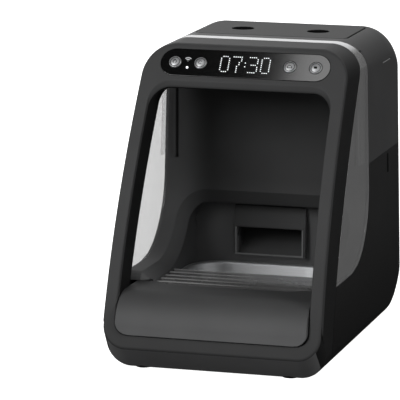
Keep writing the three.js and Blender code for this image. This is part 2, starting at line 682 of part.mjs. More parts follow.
function makeLiner() {
  const room = alongY(caseOutline(WINDOW.wall + CLEARANCE), CASE.front, CASE.rear);
  const noseZ = sillZ - LINER.noseRound;
  const top = CASE.height - WINDOW.wall - CLEARANCE;
  const sheetSide = [
    ...sweepLine(CLEARANCE, top),
    ...arcPoints(linerFrontY, noseZ, LINER.noseRound - CLEARANCE, 90, 180, STEPS.corner),
    [linerFrontY - LINER.noseRound + CLEARANCE, shoulderFoot],
    [linerFrontY, shoulderFoot],
    ...sweepLine(CLEARANCE + LINER.wall, top).reverse(),
  ];
  const archOutline = frontOutline({
    half: () => archHalf, bottom: 0, top: ARCH.top, footCorner: CLEARANCE, topCorner: ARCH.corner,
  });
  const arch = alongY(archOutline, CASE.front, CHAMBER.rearY);
  const sheet = room.intersect(alongX(sheetSide, -wideX, wideX)).subtract(arch);

  const rear = CHAMBER.rearY + CHAMBER.wall;
  const wallOut = archHalf + CHAMBER.wall;
  const underSweep = alongX([
    ...sweepLine(CLEARANCE, ARCH.top + CHAMBER.wall), [chamberFrontY, sillZ - CLEARANCE],
    [chamberFrontY, LINER.railZ], [rear, LINER.railZ], [rear, ARCH.top + CHAMBER.wall],
  ], -wideX, wideX);
  const outside = box(-wallOut, wallOut, chamberFrontY, rear, LINER.railZ, ARCH.top + CHAMBER.wall);
  const hollow = alongY(archOutline, chamberFrontY - OVERRUN, CHAMBER.rearY);
  const chamber = outside.intersect(underSweep).subtract(hollow);

  const mouth = box(
    -MOUTH.halfWidth, MOUTH.halfWidth, CHAMBER.rearY - OVERRUN, rear + OVERRUN, MOUTH.bottom, mouthTop);
  const frontSlot = box(
    -wallOut - OVERRUN, wallOut + OVERRUN, chamberFrontY - OVERRUN, tailRearY + CLEARANCE,
    tailBottom - CLEARANCE, leafTop + CLEARANCE);
  const rearSlot = box(
    -wallOut - OVERRUN, wallOut + OVERRUN, chamberFrontY, leafRearY + shutterTravel + CLEARANCE,
    leafBottom - CLEARANCE, leafTop + CLEARANCE);
  const saddleTop = gearZ - SHUTTER_MOTOR.radius - CLEARANCE;
  const saddle = box(
    archHalf + CLEARANCE, gearX + GEAR.width + SHUTTER_MOTOR.length,
    gearY - SHUTTER_MOTOR.saddleHalf, gearY + SHUTTER_MOTOR.saddleHalf,
    saddleTop - SHUTTER_MOTOR.saddle, saddleTop);
  const ribOuter = halfWidthTop - RIB.side;
  const ribs = [-1, 1].map((side) => box(
    Math.min(side * ribOuter, side * (ribOuter - RIB.width)),
    Math.max(side * ribOuter, side * (ribOuter - RIB.width)),
    WINDOW.rearY - RIB.depth, WINDOW.rearY + 2 * CLEARANCE, ribFootZ, CASE.height - RIB.topDrop));
  return cut(join(sheet, chamber, saddle, ...ribs), mouth, frontSlot, rearSlot);
}

// The gear's pitch line runs under the rack
const pitchRadius = (GEAR.module * GEAR.teeth) / 2;
const rackRoot = leafBottom - 2 * GEAR.module;
const rackPitchZ = rackRoot - GEAR.module - GEAR.clearance;
const gearZ = rackPitchZ - pitchRadius;

place('liner', makeLiner(), darkShell);

// Chute hood: the box over the mouth, and the mouth's own frame

function makeHood() {
  const back = CHAMBER.rearY - CLEARANCE;
  const half = MOUTH.halfWidth + MOUTH.frame;
  const side = [
    [back, MOUTH.bottom], [mouthFrontY, MOUTH.bottom], [mouthFrontY, mouthTop + MOUTH.frame],
    [mouthFrontY + MOUTH.hoodSlope, hoodTop], [back, hoodTop],
  ];
  const mouth = box(
    -MOUTH.halfWidth, MOUTH.halfWidth, mouthFrontY - OVERRUN, back + OVERRUN, belowCase, mouthTop);
  const sensorHole = cylinderX(
    SENSOR.radius + CLEARANCE, -half - OVERRUN, OVERRUN - MOUTH.halfWidth, sensorY, sensorZ, SMALL_ROUND);
  return cut(alongX(side, -half, half), mouth, sensorHole);
}

place('chute_hood', makeHood(), darkShell);
place('outlet_sensor', cylinderX(
  SENSOR.radius, -MOUTH.halfWidth - SENSOR.length, -MOUTH.halfWidth, sensorY, sensorZ, SMALL_ROUND), gloss);

// Food chute: side plates that stand on the base plate and a floor that falls to the mouth

function makeChute() {
  const front = CHAMBER.rearY + CHAMBER.wall + CLEARANCE;
  const inner = MOUTH.halfWidth;
  const outer = inner + CHUTE.wall;
  const top = DISPENSER.bottom - CLEARANCE;
  const stand = plateTop + CLEARANCE;
  const footY = chuteRearY - CHUTE.foot;
  const shelfY = chuteRearY - CHUTE.shelf;
  const floorLine = [[front, MOUTH.bottom], [shelfY, chuteShelfZ]];
  const plateSide = [
    [front, MOUTH.bottom - CHUTE.floor], [footY, chuteShelfZ - 2 * CHUTE.floor], [footY, stand],
    [chuteRearY, stand], [chuteRearY, top], [front, top],
  ];
  const floorSide = [
    ...floorLine, [chuteRearY, chuteShelfZ], [chuteRearY, chuteShelfZ - CHUTE.floor],
    [shelfY, chuteShelfZ - CHUTE.floor], [front, MOUTH.bottom - CHUTE.floor],
  ];
  return join(
    alongX(plateSide, inner, outer),
    alongX(plateSide, -outer, -inner),
    alongX(floorSide, -inner, inner),
    box(-inner, inner, chuteRearY - CHUTE.wall, chuteRearY, chuteShelfZ - CHUTE.floor, top));
}

place('food_chute', makeChute(), greyShell);

// Dispenser: a housing with a bore, and the paddle wheel that measures the portions

function makeDispenser() {
  const d = DISPENSER;
  const block = box(-d.halfWidth, d.halfWidth, d.y - d.halfDepth, d.y + d.halfDepth, d.bottom, d.top);
  return cut(
    block,
    cylinderX(d.bore, -d.boreHalf, d.boreHalf, d.y, d.z, STEPS.disc),
    box(-d.throatHalf, d.throatHalf, d.y - d.throatDepth, d.y + d.throatDepth, d.z, d.top + OVERRUN),
    box(-d.dropHalf, d.dropHalf, d.y - d.dropDepth, d.y + d.dropDepth, d.bottom - OVERRUN, d.z),
    cylinderX(WHEEL.shaftBore, -d.halfWidth - OVERRUN, d.halfWidth + OVERRUN, d.y, d.z, SMALL_ROUND));
}

place('dispenser_housing', makeDispenser(), greyShell);

function makeWheel() {
  const { y, z } = DISPENSER;
  const hub = cylinderX(WHEEL.hub, -WHEEL.halfWidth, WHEEL.halfWidth, y, z);
  const paddles = [];
  for (let i = 0; i < WHEEL.paddles; i += 1) {
    const blade = new THREE.BoxGeometry(2 * WHEEL.halfWidth, WHEEL.paddle, WHEEL.radius);
    blade.translate(0, 0, WHEEL.radius / 2).rotateX((i * 2 * Math.PI) / WHEEL.paddles).translate(0, y, z);
    paddles.push(toSolid(blade));
  }
  const bore = cylinderX(
    WHEEL.shaftBore, -WHEEL.halfWidth - OVERRUN, WHEEL.halfWidth + OVERRUN, y, z, SMALL_ROUND);
  return cut(join(hub, ...paddles), bore);
}

place('portion_wheel', makeWheel(), nylon);
place('wheel_shaft', cylinderX(
  WHEEL.shaft, -DISPENSER.halfWidth, DISPENSER.halfWidth, DISPENSER.y, DISPENSER.z, SMALL_ROUND), steel);

const motorX = DISPENSER.halfWidth + CLEARANCE;
place('feed_motor', join(
  box(
    motorX, motorX + FEED_MOTOR.gearbox,
    DISPENSER.y - FEED_MOTOR.gearboxHalf, DISPENSER.y + FEED_MOTOR.gearboxHalf,
    DISPENSER.z - FEED_MOTOR.gearboxHalf, DISPENSER.z + FEED_MOTOR.gearboxHalf),
  cylinderX(FEED_MOTOR.radius, motorX, motorX + FEED_MOTOR.length, DISPENSER.y, DISPENSER.z)), motorMetal);

// Upper housing: the tank's outer case above the seam, with the lid's opening

const lidHole = alongZ(
  roundedRectangle(-lidHalf, lidHalf, lidFrontY, lidRearY, LID.corner),
  CASE.height - 2 * OVERRUN, aboveCase);

function makeUpperHousing() {
  const region = box(
    -wideX, wideX, WINDOW.rearY + CLEARANCE, CASE.rear + OVERRUN, seamZ + CLEARANCE, aboveCase);
  const gripLines = [-1, 1].map((side) => {
    const x = side * (caseHalf(gripLineZ) - GRIP_LINE.depth);
    const out = side * wideX;
    return box(
      Math.min(x, out), Math.max(x, out), CASE.rear - GRIP_LINE.frontInset, CASE.rear - GRIP_LINE.rearInset,
      gripLineZ, gripLineZ + GRIP_LINE.height);
  });
  return cut(outerShell.intersect(region), lidHole, ...gripLines);
}

place('upper_housing', makeUpperHousing(), darkShell);

// Food tank with a funnel down to the dispenser

function tankMouthOutline(inset) {
  return roundedRectangle(
    inset - tankMouthHalf, tankMouthHalf - inset,
    lidFrontY + TANK.mouthInset + inset, lidRearY - TANK.mouthInset - inset, TANK.mouthCorner - inset);
}

function makeTank() {
  const front = WINDOW.rearY + CLEARANCE + LINER.wall + TANK.frontGap;
  const outerInset = CASE.wall + TANK.gap;
  const innerInset = outerInset + TANK.wall;
  const throatY0 = DISPENSER.y - throatDepth;
  const throatY1 = DISPENSER.y + throatDepth;
  const throatZ = DISPENSER.top + CLEARANCE;
  const half = caseHalf(funnelTop);
  const rear = CASE.rear;
  const envelope = (inset, y0, topZ) => {
    const region = box(-wideX, wideX, y0, rear, throatZ, topZ);
    return caseBody(inset).intersect(region);
  };
  const funnel = (inset, y0) => taperedBlock(
    [inset - throatHalf, throatHalf - inset, throatY0 + inset, throatY1 - inset], throatZ,
    [inset - half, half - inset, y0, rear - inset], funnelTop);
  const above = box(-wideX, wideX, 0, rear, funnelTop, tankTop);
  const outer = envelope(outerInset, front, tankTop).intersect(join(above, funnel(0, front)));
  const inner = envelope(innerInset, front + TANK.wall, tankTop - TANK.wall)
    .intersect(join(above, funnel(TANK.wall, front + TANK.wall)));
  const fill = alongZ(tankMouthOutline(0), tankTop - OVERRUN, tankTop + OVERRUN);
  const outlet = box(
    TANK.wall - throatHalf, throatHalf - TANK.wall, throatY0 + TANK.wall, throatY1 - TANK.wall,
    throatZ - OVERRUN, throatZ + OVERRUN);
  return cut(outer, inner, fill, outlet);
}

place('hopper_tank', makeTank(), smokedPlastic);

// Lid with its skirt, seal, finger recesses and drying agent's box

const lidBottom = tankTop + CLEARANCE;

function makeLid() {
  const plate = alongZ(
    roundedRectangle(
      CLEARANCE - lidHalf, lidHalf - CLEARANCE, lidFrontY + CLEARANCE, lidRearY - CLEARANCE,
      LID.corner - CLEARANCE), lidBottom, CASE.height);
  const skirtFoot = lidBottom - LID.skirtDepth;
  const insideSkirt = tankMouthOutline(LID.skirtInset + LID.skirt);
  const skirt = alongZ(tankMouthOutline(LID.skirtInset), skirtFoot, lidBottom + CLEARANCE)
    .subtract(alongZ(insideSkirt, skirtFoot - OVERRUN, lidBottom));
  const cups = [];
  const pockets = [];
  const recessY = lidFrontY + RECESS.frontInset;
  const pocketFloor = CASE.height - RECESS.depth;
  const cupFloor = pocketFloor - RECESS.floor;
  for (const x of [-recessX, recessX]) {
    cups.push(cylinderZ(RECESS.cup, x, recessY, cupFloor, CASE.height - CLEARANCE));
    pockets.push(cylinderZ(RECESS.radius, x, recessY, pocketFloor, aboveCase));
  }
  return cut(join(plate, skirt, ...cups), ...pockets);
}

place('lid', makeLid(), greyShell);

function makeSeal() {
  const foot = sealTop - LID.sealHeight;
  const inside = alongZ(tankMouthOutline(LID.skirtInset - CLEARANCE), foot - OVERRUN, aboveCase);
  return alongZ(tankMouthOutline(CLEARANCE), foot, sealTop).subtract(inside);
}

place('lid_seal', makeSeal(), seal);

place('desiccant_box', box(
  -DESICCANT.halfWidth, DESICCANT.halfWidth, lidFrontY + DESICCANT.frontInset, lidRearY - DESICCANT.rearInset,
  lidBottom - CLEARANCE - DESICCANT.height, lidBottom - CLEARANCE), nylon);

// Apron: the rounded front lip and the deck behind it

function apronSide(inset) {
  const radius = DECK.frontRound - inset;
  const centreY = CASE.front + FACE.edgeInset + DECK.frontRound;
  const centreZ = DECK.top - DECK.frontRound;
  return [
    [deckRearY + (inset > 0 ? OVERRUN : 0), centreZ + radius],
    ...arcPoints(centreY, centreZ, radius, 90, 180, STEPS.sweep),
    [centreY - radius, apronFoot - (inset > 0 ? OVERRUN : 0)],
    [deckRearY + (inset > 0 ? OVERRUN : 0), apronFoot - (inset > 0 ? OVERRUN : 0)],
  ];
}

function makeApron() {
  const fit = FRAME.lipInset + APRON.gap;
  const outline = (inset) => frontOutline({
    half: (z) => openingHalf(z) - fit - inset,
    bottom: apronFoot + (inset > 0 ? -OVERRUN : 0),
    top: openingTop,
    footCorner: OPENING.footCorner - APRON.gap,
    topCorner: OPENING.topCorner,
  });
  const outer = alongX(apronSide(0), -wideX, wideX).intersect(alongY(outline(0), CASE.front, deckRearY));
  const cavity = alongX(apronSide(APRON.wall), -wideX, wideX)
    .intersect(alongY(outline(APRON.wall), CASE.front, deckRearY + OVERRUN));
  const mouth = alongZ(
    roundedRectangle(-deckMouthHalf, deckMouthHalf, deckMouthY, CHAMBER.rearY, DECK.mouthCorner),
    DECK.top - DECK.wall - OVERRUN / 2, DECK.top + OVERRUN);
  return cut(outer, cavity, mouth);
}

place('apron', makeApron(), greyShell);

// Bowl tray: it slides with the apron and carries the bowl by its rim

const trayOutline = (inset) => roundedRectangle(
  inset - trayHalf, trayHalf - inset, trayFrontY + inset, trayRearY - inset, TRAY.corner - inset);

function makeTray() {
  const wall = alongZ(trayOutline(0), trayFloor, trayTop)
    .subtract(alongZ(trayOutline(TRAY.wall), trayFloor + TRAY.floor, trayTop + OVERRUN));
  const tongueFront = CASE.front + FACE.edgeInset + APRON.wall + CLEARANCE;
  const tongue = box(
    TRAY.corner - trayHalf, trayHalf - TRAY.corner, tongueFront, trayFrontY + TRAY.wall,
    trayFloor, trayFloor + TRAY.floor);
  return join(wall, tongue);
}

place('bowl_tray', makeTray(), blackShell);

// Bowl: a flat rim, walls that draw in, and a level floor

function makeBowl() {
  const rimBottom = rimTop - BOWL.rim;
  const floorBottom = trayFloor + TRAY.floor + CLEARANCE;
  const wallTop = BOWL.inset + BOWL.flange;
  const ring = (inset, z) => trayOutline(inset).map(([x, y]) => [x, y, z]);
  const layers = [
    ring(BOWL.inset, rimBottom), ring(BOWL.inset, rimTop),
    ring(wallTop + BOWL.sheet, rimTop),
    ring(wallTop + BOWL.sheet + BOWL.floorInset, floorBottom + 2 * BOWL.sheet),
    ring(wallTop + 2 * BOWL.floorInset, floorBottom + BOWL.sheet),
  ];
  const under = [
    ring(wallTop + 2 * BOWL.floorInset, floorBottom),
    ring(wallTop + BOWL.floorInset, floorBottom + BOWL.sheet),
    ring(wallTop, rimBottom),
  ];
  const wall = closedLoft([...layers, ...under]);
  const floorPlate = alongZ(
    trayOutline(wallTop + 2 * BOWL.floorInset - CLEARANCE), floorBottom, floorBottom + BOWL.sheet);
  return join(wall, floorPlate);
}

place('bowl', makeBowl(), steel);

// Shutter: a ribbed leaf slides back over the bowl, and a fixed tail closes what it leaves

function makeLeaf() {
  const top = leafBottom + LEAF.plate;
  const points = [[leafRearY, leafBottom], [leafRearY, top + LEAF.rib]];
  const shoulder = (LEAF.ribPitch - LEAF.ribWidth) / 2;
  for (let y = leafRearY - shoulder; y - LEAF.ribWidth > leafFrontY; y -= LEAF.ribPitch) {
    const low = y - shoulder;
    const after = low - shoulder;
    points.push([y, top + LEAF.rib], [low, top], [after, top + LEAF.rib]);
  }
  points.push([leafFrontY, top], [leafFrontY, leafBottom]);
  return alongX(points, -leafHalf, leafHalf);
}

place('shutter_leaf', makeLeaf(), smokedPlastic);
place('shutter_tail', box(
  -leafHalf, leafHalf, tailFrontY, tailRearY, tailBottom, tailBottom + TAIL.plate), smokedPlastic);

// Rack on the leaf's right edge, and the pinion and motor that drive it

function makeRack() {
  const pitch = Math.PI * GEAR.module;
  const tipZ = rackPitchZ - GEAR.module;
  const top = leafBottom + LEAF.plate;
  const points = [[rackRearY, top], [rackFrontY, top], [rackFrontY, rackRoot]];
  const firstGap = gearY + pitch * Math.ceil((rackFrontY - gearY) / pitch);
  for (let gap = firstGap; gap + pitch < rackRearY; gap += pitch) {
    const tooth = gap + pitch / 2;
    points.push(
      [tooth - GEAR.rootThickness / 2, rackRoot], [tooth - GEAR.tipThickness / 2, tipZ],
      [tooth + GEAR.tipThickness / 2, tipZ], [tooth + GEAR.rootThickness / 2, rackRoot]);
  }
  points.push([rackRearY, rackRoot]);
  const bar = alongX(points, rackX, rackX + RACK.width);
  const tab = box(leafHalf + CLEARANCE, rackX + CLEARANCE, rackFrontY, rackRearY, leafBottom, top);
  return join(bar, tab);
}

place('shutter_rack', makeRack(), nylon);

function makePinion() {
  const points = [];
  const root = pitchRadius - GEAR.module - GEAR.clearance;
  const tip = pitchRadius + GEAR.module;
  for (let i = 0; i < GEAR.teeth; i += 1) {
    const middle = Math.PI / 2 + (i * 2 * Math.PI) / GEAR.teeth;
    const add = (radius, offset) => points.push([
      radius * Math.cos(middle + offset / radius), radius * Math.sin(middle + offset / radius)]);
    add(root, -GEAR.rootThickness / 2);
    add(tip, -GEAR.tipThickness / 2);
    add(tip, GEAR.tipThickness / 2);
    add(root, GEAR.rootThickness / 2);
  }
  const placed = points.map(([y, z]) => [gearY + y, gearZ + z]);
  return alongX(placed, gearX, gearX + GEAR.width);
}

place('shutter_pinion', makePinion(), nylon);
place('shutter_motor', cylinderX(
  SHUTTER_MOTOR.radius, gearX + GEAR.width + CLEARANCE, gearX + GEAR.width + SHUTTER_MOTOR.length,
  gearY, gearZ), motorMetal);

// Control strip: lens, buttons, display and board

const buttonPlaces = [-buttonOuter, -buttonInner, buttonInner, buttonOuter];

function makeLens() {
  const below = lensBottom - OVERRUN;
  const holes = buttonPlaces.map((x) => cylinderZ(BUTTON.radius + CLEARANCE, x, 0, below, OVERRUN));
  const lightHole = cylinderZ(LIGHT.radius + CLEARANCE, -lightX, -LIGHT.drop, below, OVERRUN, SMALL_ROUND);
  return cut(pillSolid(0, lensBottom, PANEL.proud), ...holes, lightHole);
}

place('panel_lens', makeLens(), gloss, panelGroup);

function makeButton(x) {
  const base = -BUTTON.body;
  const profile = [[0, base], [BUTTON.radius, base], [BUTTON.radius, PANEL.proud]];
  for (let i = 1; i <= STEPS.corner; i += 1) {
    const angle = (i / STEPS.corner) * (Math.PI / 2);
    const rise = (BUTTON.dome - PANEL.proud) * Math.sin(angle);
    profile.push([BUTTON.radius * Math.cos(angle), PANEL.proud + rise]);
  }
  profile[profile.length - 1][0] = 0;
  const lathe = new THREE.LatheGeometry(profile.map(([r, y]) => new THREE.Vector2(r, y)), STEPS.circle);
  return toSolid(lathe.rotateX(Math.PI / 2).translate(x, 0, 0));
}

buttonPlaces.forEach((x, i) => place(`button_${i + 1}`, makeButton(x), buttonMetal, panelGroup));

const boardFront = -BOARD.front;
const controlBoard = join(
  box(
    -boardHalf, boardHalf, -BOARD.halfHeight, BOARD.halfHeight,
    boardFront - BOARD.thickness, boardFront),
  ...buttonPlaces.map((x) => box(
    x - BOARD.switchHalf, x + BOARD.switchHalf, -BOARD.switchHalf, BOARD.switchHalf,
    boardFront - CLEARANCE, boardFront + BOARD.switchHeight)));
place('control_board', controlBoard, board, panelGroup);
place('display_module', box(
  -displayHalf, displayHalf, -DISPLAY.halfHeight, DISPLAY.halfHeight,
  boardFront + CLEARANCE, recessFloor), gloss, panelGroup);
const statusLight = cylinderZ(
  LIGHT.radius, -lightX, -LIGHT.drop, boardFront + CLEARANCE, PANEL.proud, SMALL_ROUND);
place('status_light', statusLight, whiteLight, panelGroup);

// Tag reader's coil, a loop inside the frame's channel

function makeCoil() {
  const inside = openingOutline(COIL.offset, FRAME.lipDrop, STEPS.side);
  const outside = openingOutline(COIL.offset + COIL.width, FRAME.lipDrop, STEPS.side);
  const near = FRAME.lipDepth + FRAME.frontWall + 2 * CLEARANCE;
  const far = near + COIL.depth;
  return closedLoft(inside.map(([x, z], i) => {
    const [outX, outZ] = outside[i];
    return [
      [x, faceY(z) + near, z], [outX, faceY(outZ) + near, outZ],
      [outX, faceY(outZ) + far, outZ], [x, faceY(z) + far, z],
    ];
  }));
}

place('reader_antenna', makeCoil(), copper);

// Main board on posts over the base plate

function makeMainBoard() {
  const bottom = plateTop + CLEARANCE + MAIN_BOARD.post;
  const top = bottom + MAIN_BOARD.thickness;
  const { halfWidth, postRadius, chip } = MAIN_BOARD;
  const rearY = mainBoardRearY;
  const frontY = rearY - MAIN_BOARD.length;
  const posts = [];
  for (const side of [-1, 1]) {
    const x = side * (halfWidth - 2 * postRadius);
    for (const y of [frontY + 2 * postRadius, rearY - 2 * postRadius]) {
      posts.push(cylinderZ(postRadius, x, y, plateTop + CLEARANCE, bottom + CLEARANCE, SMALL_ROUND));
    }
  }
  const middle = (frontY + rearY) / 2;
  return join(
    box(-halfWidth, halfWidth, frontY, rearY, bottom, top),
    box(-chip, chip, middle - chip, middle + chip, top - CLEARANCE, top + MAIN_BOARD.chipHeight),
    ...posts);
}

place('main_board', makeMainBoard(), board);

export default feeder;
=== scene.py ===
import math

import bmesh
import bpy
from mathutils import Matrix, Vector


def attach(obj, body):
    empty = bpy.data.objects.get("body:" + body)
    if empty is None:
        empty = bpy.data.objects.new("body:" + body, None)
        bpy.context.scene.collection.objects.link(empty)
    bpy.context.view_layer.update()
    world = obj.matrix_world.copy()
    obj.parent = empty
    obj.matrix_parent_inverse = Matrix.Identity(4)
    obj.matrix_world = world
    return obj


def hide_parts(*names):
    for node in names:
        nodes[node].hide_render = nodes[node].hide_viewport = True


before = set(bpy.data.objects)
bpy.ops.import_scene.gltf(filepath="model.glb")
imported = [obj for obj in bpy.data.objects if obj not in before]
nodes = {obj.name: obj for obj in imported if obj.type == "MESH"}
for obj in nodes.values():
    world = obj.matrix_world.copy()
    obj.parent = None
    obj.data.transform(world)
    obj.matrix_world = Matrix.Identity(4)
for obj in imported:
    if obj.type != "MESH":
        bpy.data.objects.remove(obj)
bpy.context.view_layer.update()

MM = 0.001

# Sizes shared with the construction, in millimetres

CASE_HEIGHT = 321.5
UNDERSIDE = 5.0
CASE_FRONT = -186.0
REAR = 186.0
HALF_FOOT = 117.7
HALF_TOP = 110.2
FOOT_CORNER = 19.0
TOP_CORNER = 33.0
REAR_TOP = 48.0
REAR_FOOT = 62.0
REAR_PLAN = 18.0
FACE_FOOT_Z = 23.8
FACE_TOP_Y = -41.8
FACE_BOW = 20.0
WINDOW_REAR = 30.0
SWEEP = 81.0
SWEEP_Y = WINDOW_REAR - SWEEP
SWEEP_Z = 87.0 + SWEEP
GAP = 0.3
LEVEL_PANEL = 303.5
FRAME_DEPTH, THROAT_DEPTH = (48, 63.5), (36, 46.5)  # at the foot and at the top
SEAM_LIMIT, SEAM_EASE = 5, 8
OPENING_HALF_FOOT, OPENING_HALF_TOP = 104.0, 97.2
OPENING_FOOT, OPENING_TOP = 37.5, 286.4
OPENING_FOOT_CORNER, OPENING_TOP_CORNER = 13.0, 22.0
RIB_PITCH, RIB_REAR = 15.5, -30.0
HANDS = ((1, "right"), (-1, "left"))


def lerp(a, b, share):
    return a + (b - a) * share


def face_y(z):
    share = max((z - FACE_FOOT_Z) / (CASE_HEIGHT - FACE_FOOT_Z), 0)
    return lerp(CASE_FRONT, FACE_TOP_Y, share) - 4 * FACE_BOW * share * (1 - share)


def seam_y(z):
    """The frame's rear edge: raked like the face, eased in to a limit at the top."""
    raked = face_y(z) + lerp(*FRAME_DEPTH, z / CASE_HEIGHT)
    return (raked + SEAM_LIMIT - math.hypot(raked - SEAM_LIMIT, SEAM_EASE)) / 2


def throat_y(z):
    return face_y(z) + lerp(*THROAT_DEPTH, z / CASE_HEIGHT)


def case_half(z):
    return lerp(HALF_FOOT, HALF_TOP, z / CASE_HEIGHT)


def opening_half(z):
    return lerp(OPENING_HALF_FOOT, OPENING_HALF_TOP, z / CASE_HEIGHT)


# Mesh making


def new_object(name, data):
    made = bpy.data.objects.new(name, data)
    bpy.context.scene.collection.objects.link(made)
    return made


def edit(mesh, change, turn_out=True):
    """Runs change on a mesh, and turns its faces outwards."""
    work = bmesh.new()
    work.from_mesh(mesh)
    change(work)
    if turn_out:
        bmesh.ops.recalc_face_normals(work, faces=work.faces)
    work.to_mesh(mesh)
    work.free()


def from_faces(name, points, faces):
    mesh = bpy.data.meshes.new(name)
    mesh.from_pydata([Vector(p) * MM for p in points], [], faces)
    mesh.validate()
    edit(mesh, lambda work: bmesh.ops.remove_doubles(work, verts=work.verts, dist=1e-6))
    return new_object(name, mesh)


def grid_faces(rows, columns, close_rows=False, close_columns=False):
    faces = []
    for i in range(rows if close_rows else rows - 1):
        for j in range(columns if close_columns else columns - 1):
            here, below = i * columns, (i + 1) % rows * columns
            after = (j + 1) % columns
            faces.append((here + j, here + after, below + after, below + j))
    return faces


def loft(name, rings, close_rows=False, close_columns=False):
    points = [p for ring in rings for p in ring]
    faces = grid_faces(len(rings), len(rings[0]), close_rows, close_columns)
    return from_faces(name, points, faces)


def prism(name, outline, place, start, end):
    """A closed block: place(a, b, t) puts an outline point at depth t."""
    count = len(outline)
    points = [place(a, b, start) for a, b in outline] + [place(a, b, end) for a, b in outline]
    faces = [tuple(range(count)), tuple(range(2 * count - 1, count - 1, -1))]
    faces += [(i, (i + 1) % count, count + (i + 1) % count, count + i) for i in range(count)]
    return from_faces(name, points, faces)


def upright(a, b, t):
    return (a, b, t)


def to_rear(a, b, t):
    return (a, t, b)


def to_right(a, b, t):
    return (t, a, b)


def block(name, x0, x1, y0, y1, z0, z1):
    return prism(name, [(x0, y0), (x1, y0), (x1, y1), (x0, y1)], upright, z0, z1)


def side_block(name, side, near, far, *rest):
    return block(name, *sorted((side * near, side * far)), *rest)


def fill_ends(work, wanted=lambda edge: True):
    """Closes the open ends of a mesh that edit() has open."""
    edges = [e for e in work.edges if e.is_boundary and wanted(e)]
    bmesh.ops.holes_fill(work, edges=edges)


def bake(obj):
    """Applies the modifiers."""
    bpy.context.view_layer.update()
    evaluated = obj.evaluated_get(bpy.context.evaluated_depsgraph_get())
    mesh = bpy.data.meshes.new_from_object(evaluated)
    obj.modifiers.clear()
    obj.data = mesh
    return obj


def carve(obj, cutters, operation="DIFFERENCE"):
    for cutter in cutters:
        step = obj.modifiers.new("carve", "BOOLEAN")
        step.operation = operation
        step.solver = "EXACT"
        step.object = cutter
    bake(obj)
    for cutter in cutters:
        bpy.data.objects.remove(cutter)
    return obj


def soften(obj, width=0.4, segments=2, angle=32, bevel=True):
    """Rounded edges, and normals that keep flat sides flat."""
    mesh = obj.data
    mesh.shade_smooth()
    mesh.set_sharp_from_angle(angle=math.radians(angle))
    if bevel:
        edge = obj.modifiers.new("edges", "BEVEL")
        edge.width = width * MM
        edge.segments = segments
        edge.limit_method = "ANGLE"
        edge.angle_limit = math.radians(angle)
        edge.miter_outer = "MITER_ARC"
    normals = obj.modifiers.new("normals", "WEIGHTED_NORMAL")
    normals.keep_sharp = not bevel
    normals.weight = 80
    return obj


# Outlines


def arc(cx, cy, radius, start, end, steps):
    return [
        (
            cx + radius * math.cos(math.radians(lerp(start, end, i / steps))),
            cy + radius * math.sin(math.radians(lerp(start, end, i / steps))),
        )
        for i in range(steps + 1)
    ]


def rounded_rectangle(x0, x1, y0, y1, radius, steps=12):
    return (
        arc(x1 - radius, y0 + radius, radius, -90, 0, steps)
        + arc(x1 - radius, y1 - radius, radius, 0, 90, steps)
        + arc(x0 + radius, y1 - radius, radius, 90, 180, steps)
        + arc(x0 + radius, y0 + radius, radius, 180, 270, steps)
    )


def between(a, b, steps):
    """Points strictly between two points."""
    return [(lerp(a[0], b[0], i / steps), lerp(a[1], b[1], i / steps)) for i in range(1, steps)]


def front_outline(half, bottom, top, foot_corner, top_corner, corner_steps=18, side_steps=36):
    foot_z, top_z = bottom + foot_corner, top - top_corner
    foot = arc(half(foot_z) - foot_corner, foot_z, foot_corner, -90, 0, corner_steps)
    head = arc(half(top_z) - top_corner, top_z, top_corner, 0, 90, corner_steps)
    right = foot + between(foot[-1], head[0], side_steps) + head
    left = [(-x, z) for x, z in reversed(right)]
    over = between(right[-1], left[0], 16)
    under = between(left[-1], right[0], 16)
    return right + over + left + under


def case_outline(inset):
    return front_outline(
        lambda z: case_half(z) - inset,
        UNDERSIDE + inset,
        CASE_HEIGHT - inset,
        FOOT_CORNER - inset,
        TOP_CORNER - inset,
    )


def opening_outline(grow, drop):
    return front_outline(
        lambda z: opening_half(z) + grow,
        OPENING_FOOT - max(grow, 0),
        OPENING_TOP + max(grow, 0) - drop,
        OPENING_FOOT_CORNER + grow,
        OPENING_TOP_CORNER + grow,
    )


def rounded_chain(points, rounds, steps=5):
    """A closed chain of 3-D points whose corners are rounded by curves of a given reach."""
    count = len(points)
    vectors = [Vector(p) for p in points]
    result = []
    for i, here in enumerate(vectors):
        before = vectors[i - 1] - here
        after = vectors[(i + 1) % count] - here
        reach_in = min(rounds[i], before.length * 0.48)
        reach_out = min(rounds[i], after.length * 0.48)
        start = here + before.normalized() * reach_in
        end = here + after.normalized() * reach_out
        for k in range(steps + 1):
            t = k / steps
            result.append(start * (1 - t) ** 2 + here * (2 * t * (1 - t)) + end * t**2)
    return result


# Materials


def material(name):
    made = bpy.data.materials.new(name)
    made.use_nodes = True
    return made, made.node_tree, made.node_tree.nodes["Principled BSDF"]


def preset(node, values):
    for socket, value in values.items():
        node.inputs[socket].default_value = value


def noise(tree, scale, detail=2, roughness=0.6, stretch=None):
    node = tree.nodes.new("ShaderNodeTexNoise")
    preset(node, {"Scale": scale, "Detail": detail, "Roughness": roughness})
    coordinates = tree.nodes.new("ShaderNodeTexCoord")
    mapping = tree.nodes.new("ShaderNodeMapping")
    if stretch:
        mapping.inputs["Scale"].default_value = stretch
    tree.links.new(coordinates.outputs["Object"], mapping.inputs["Vector"])
    tree.links.new(mapping.outputs["Vector"], node.inputs["Vector"])
    return node.outputs["Fac"]


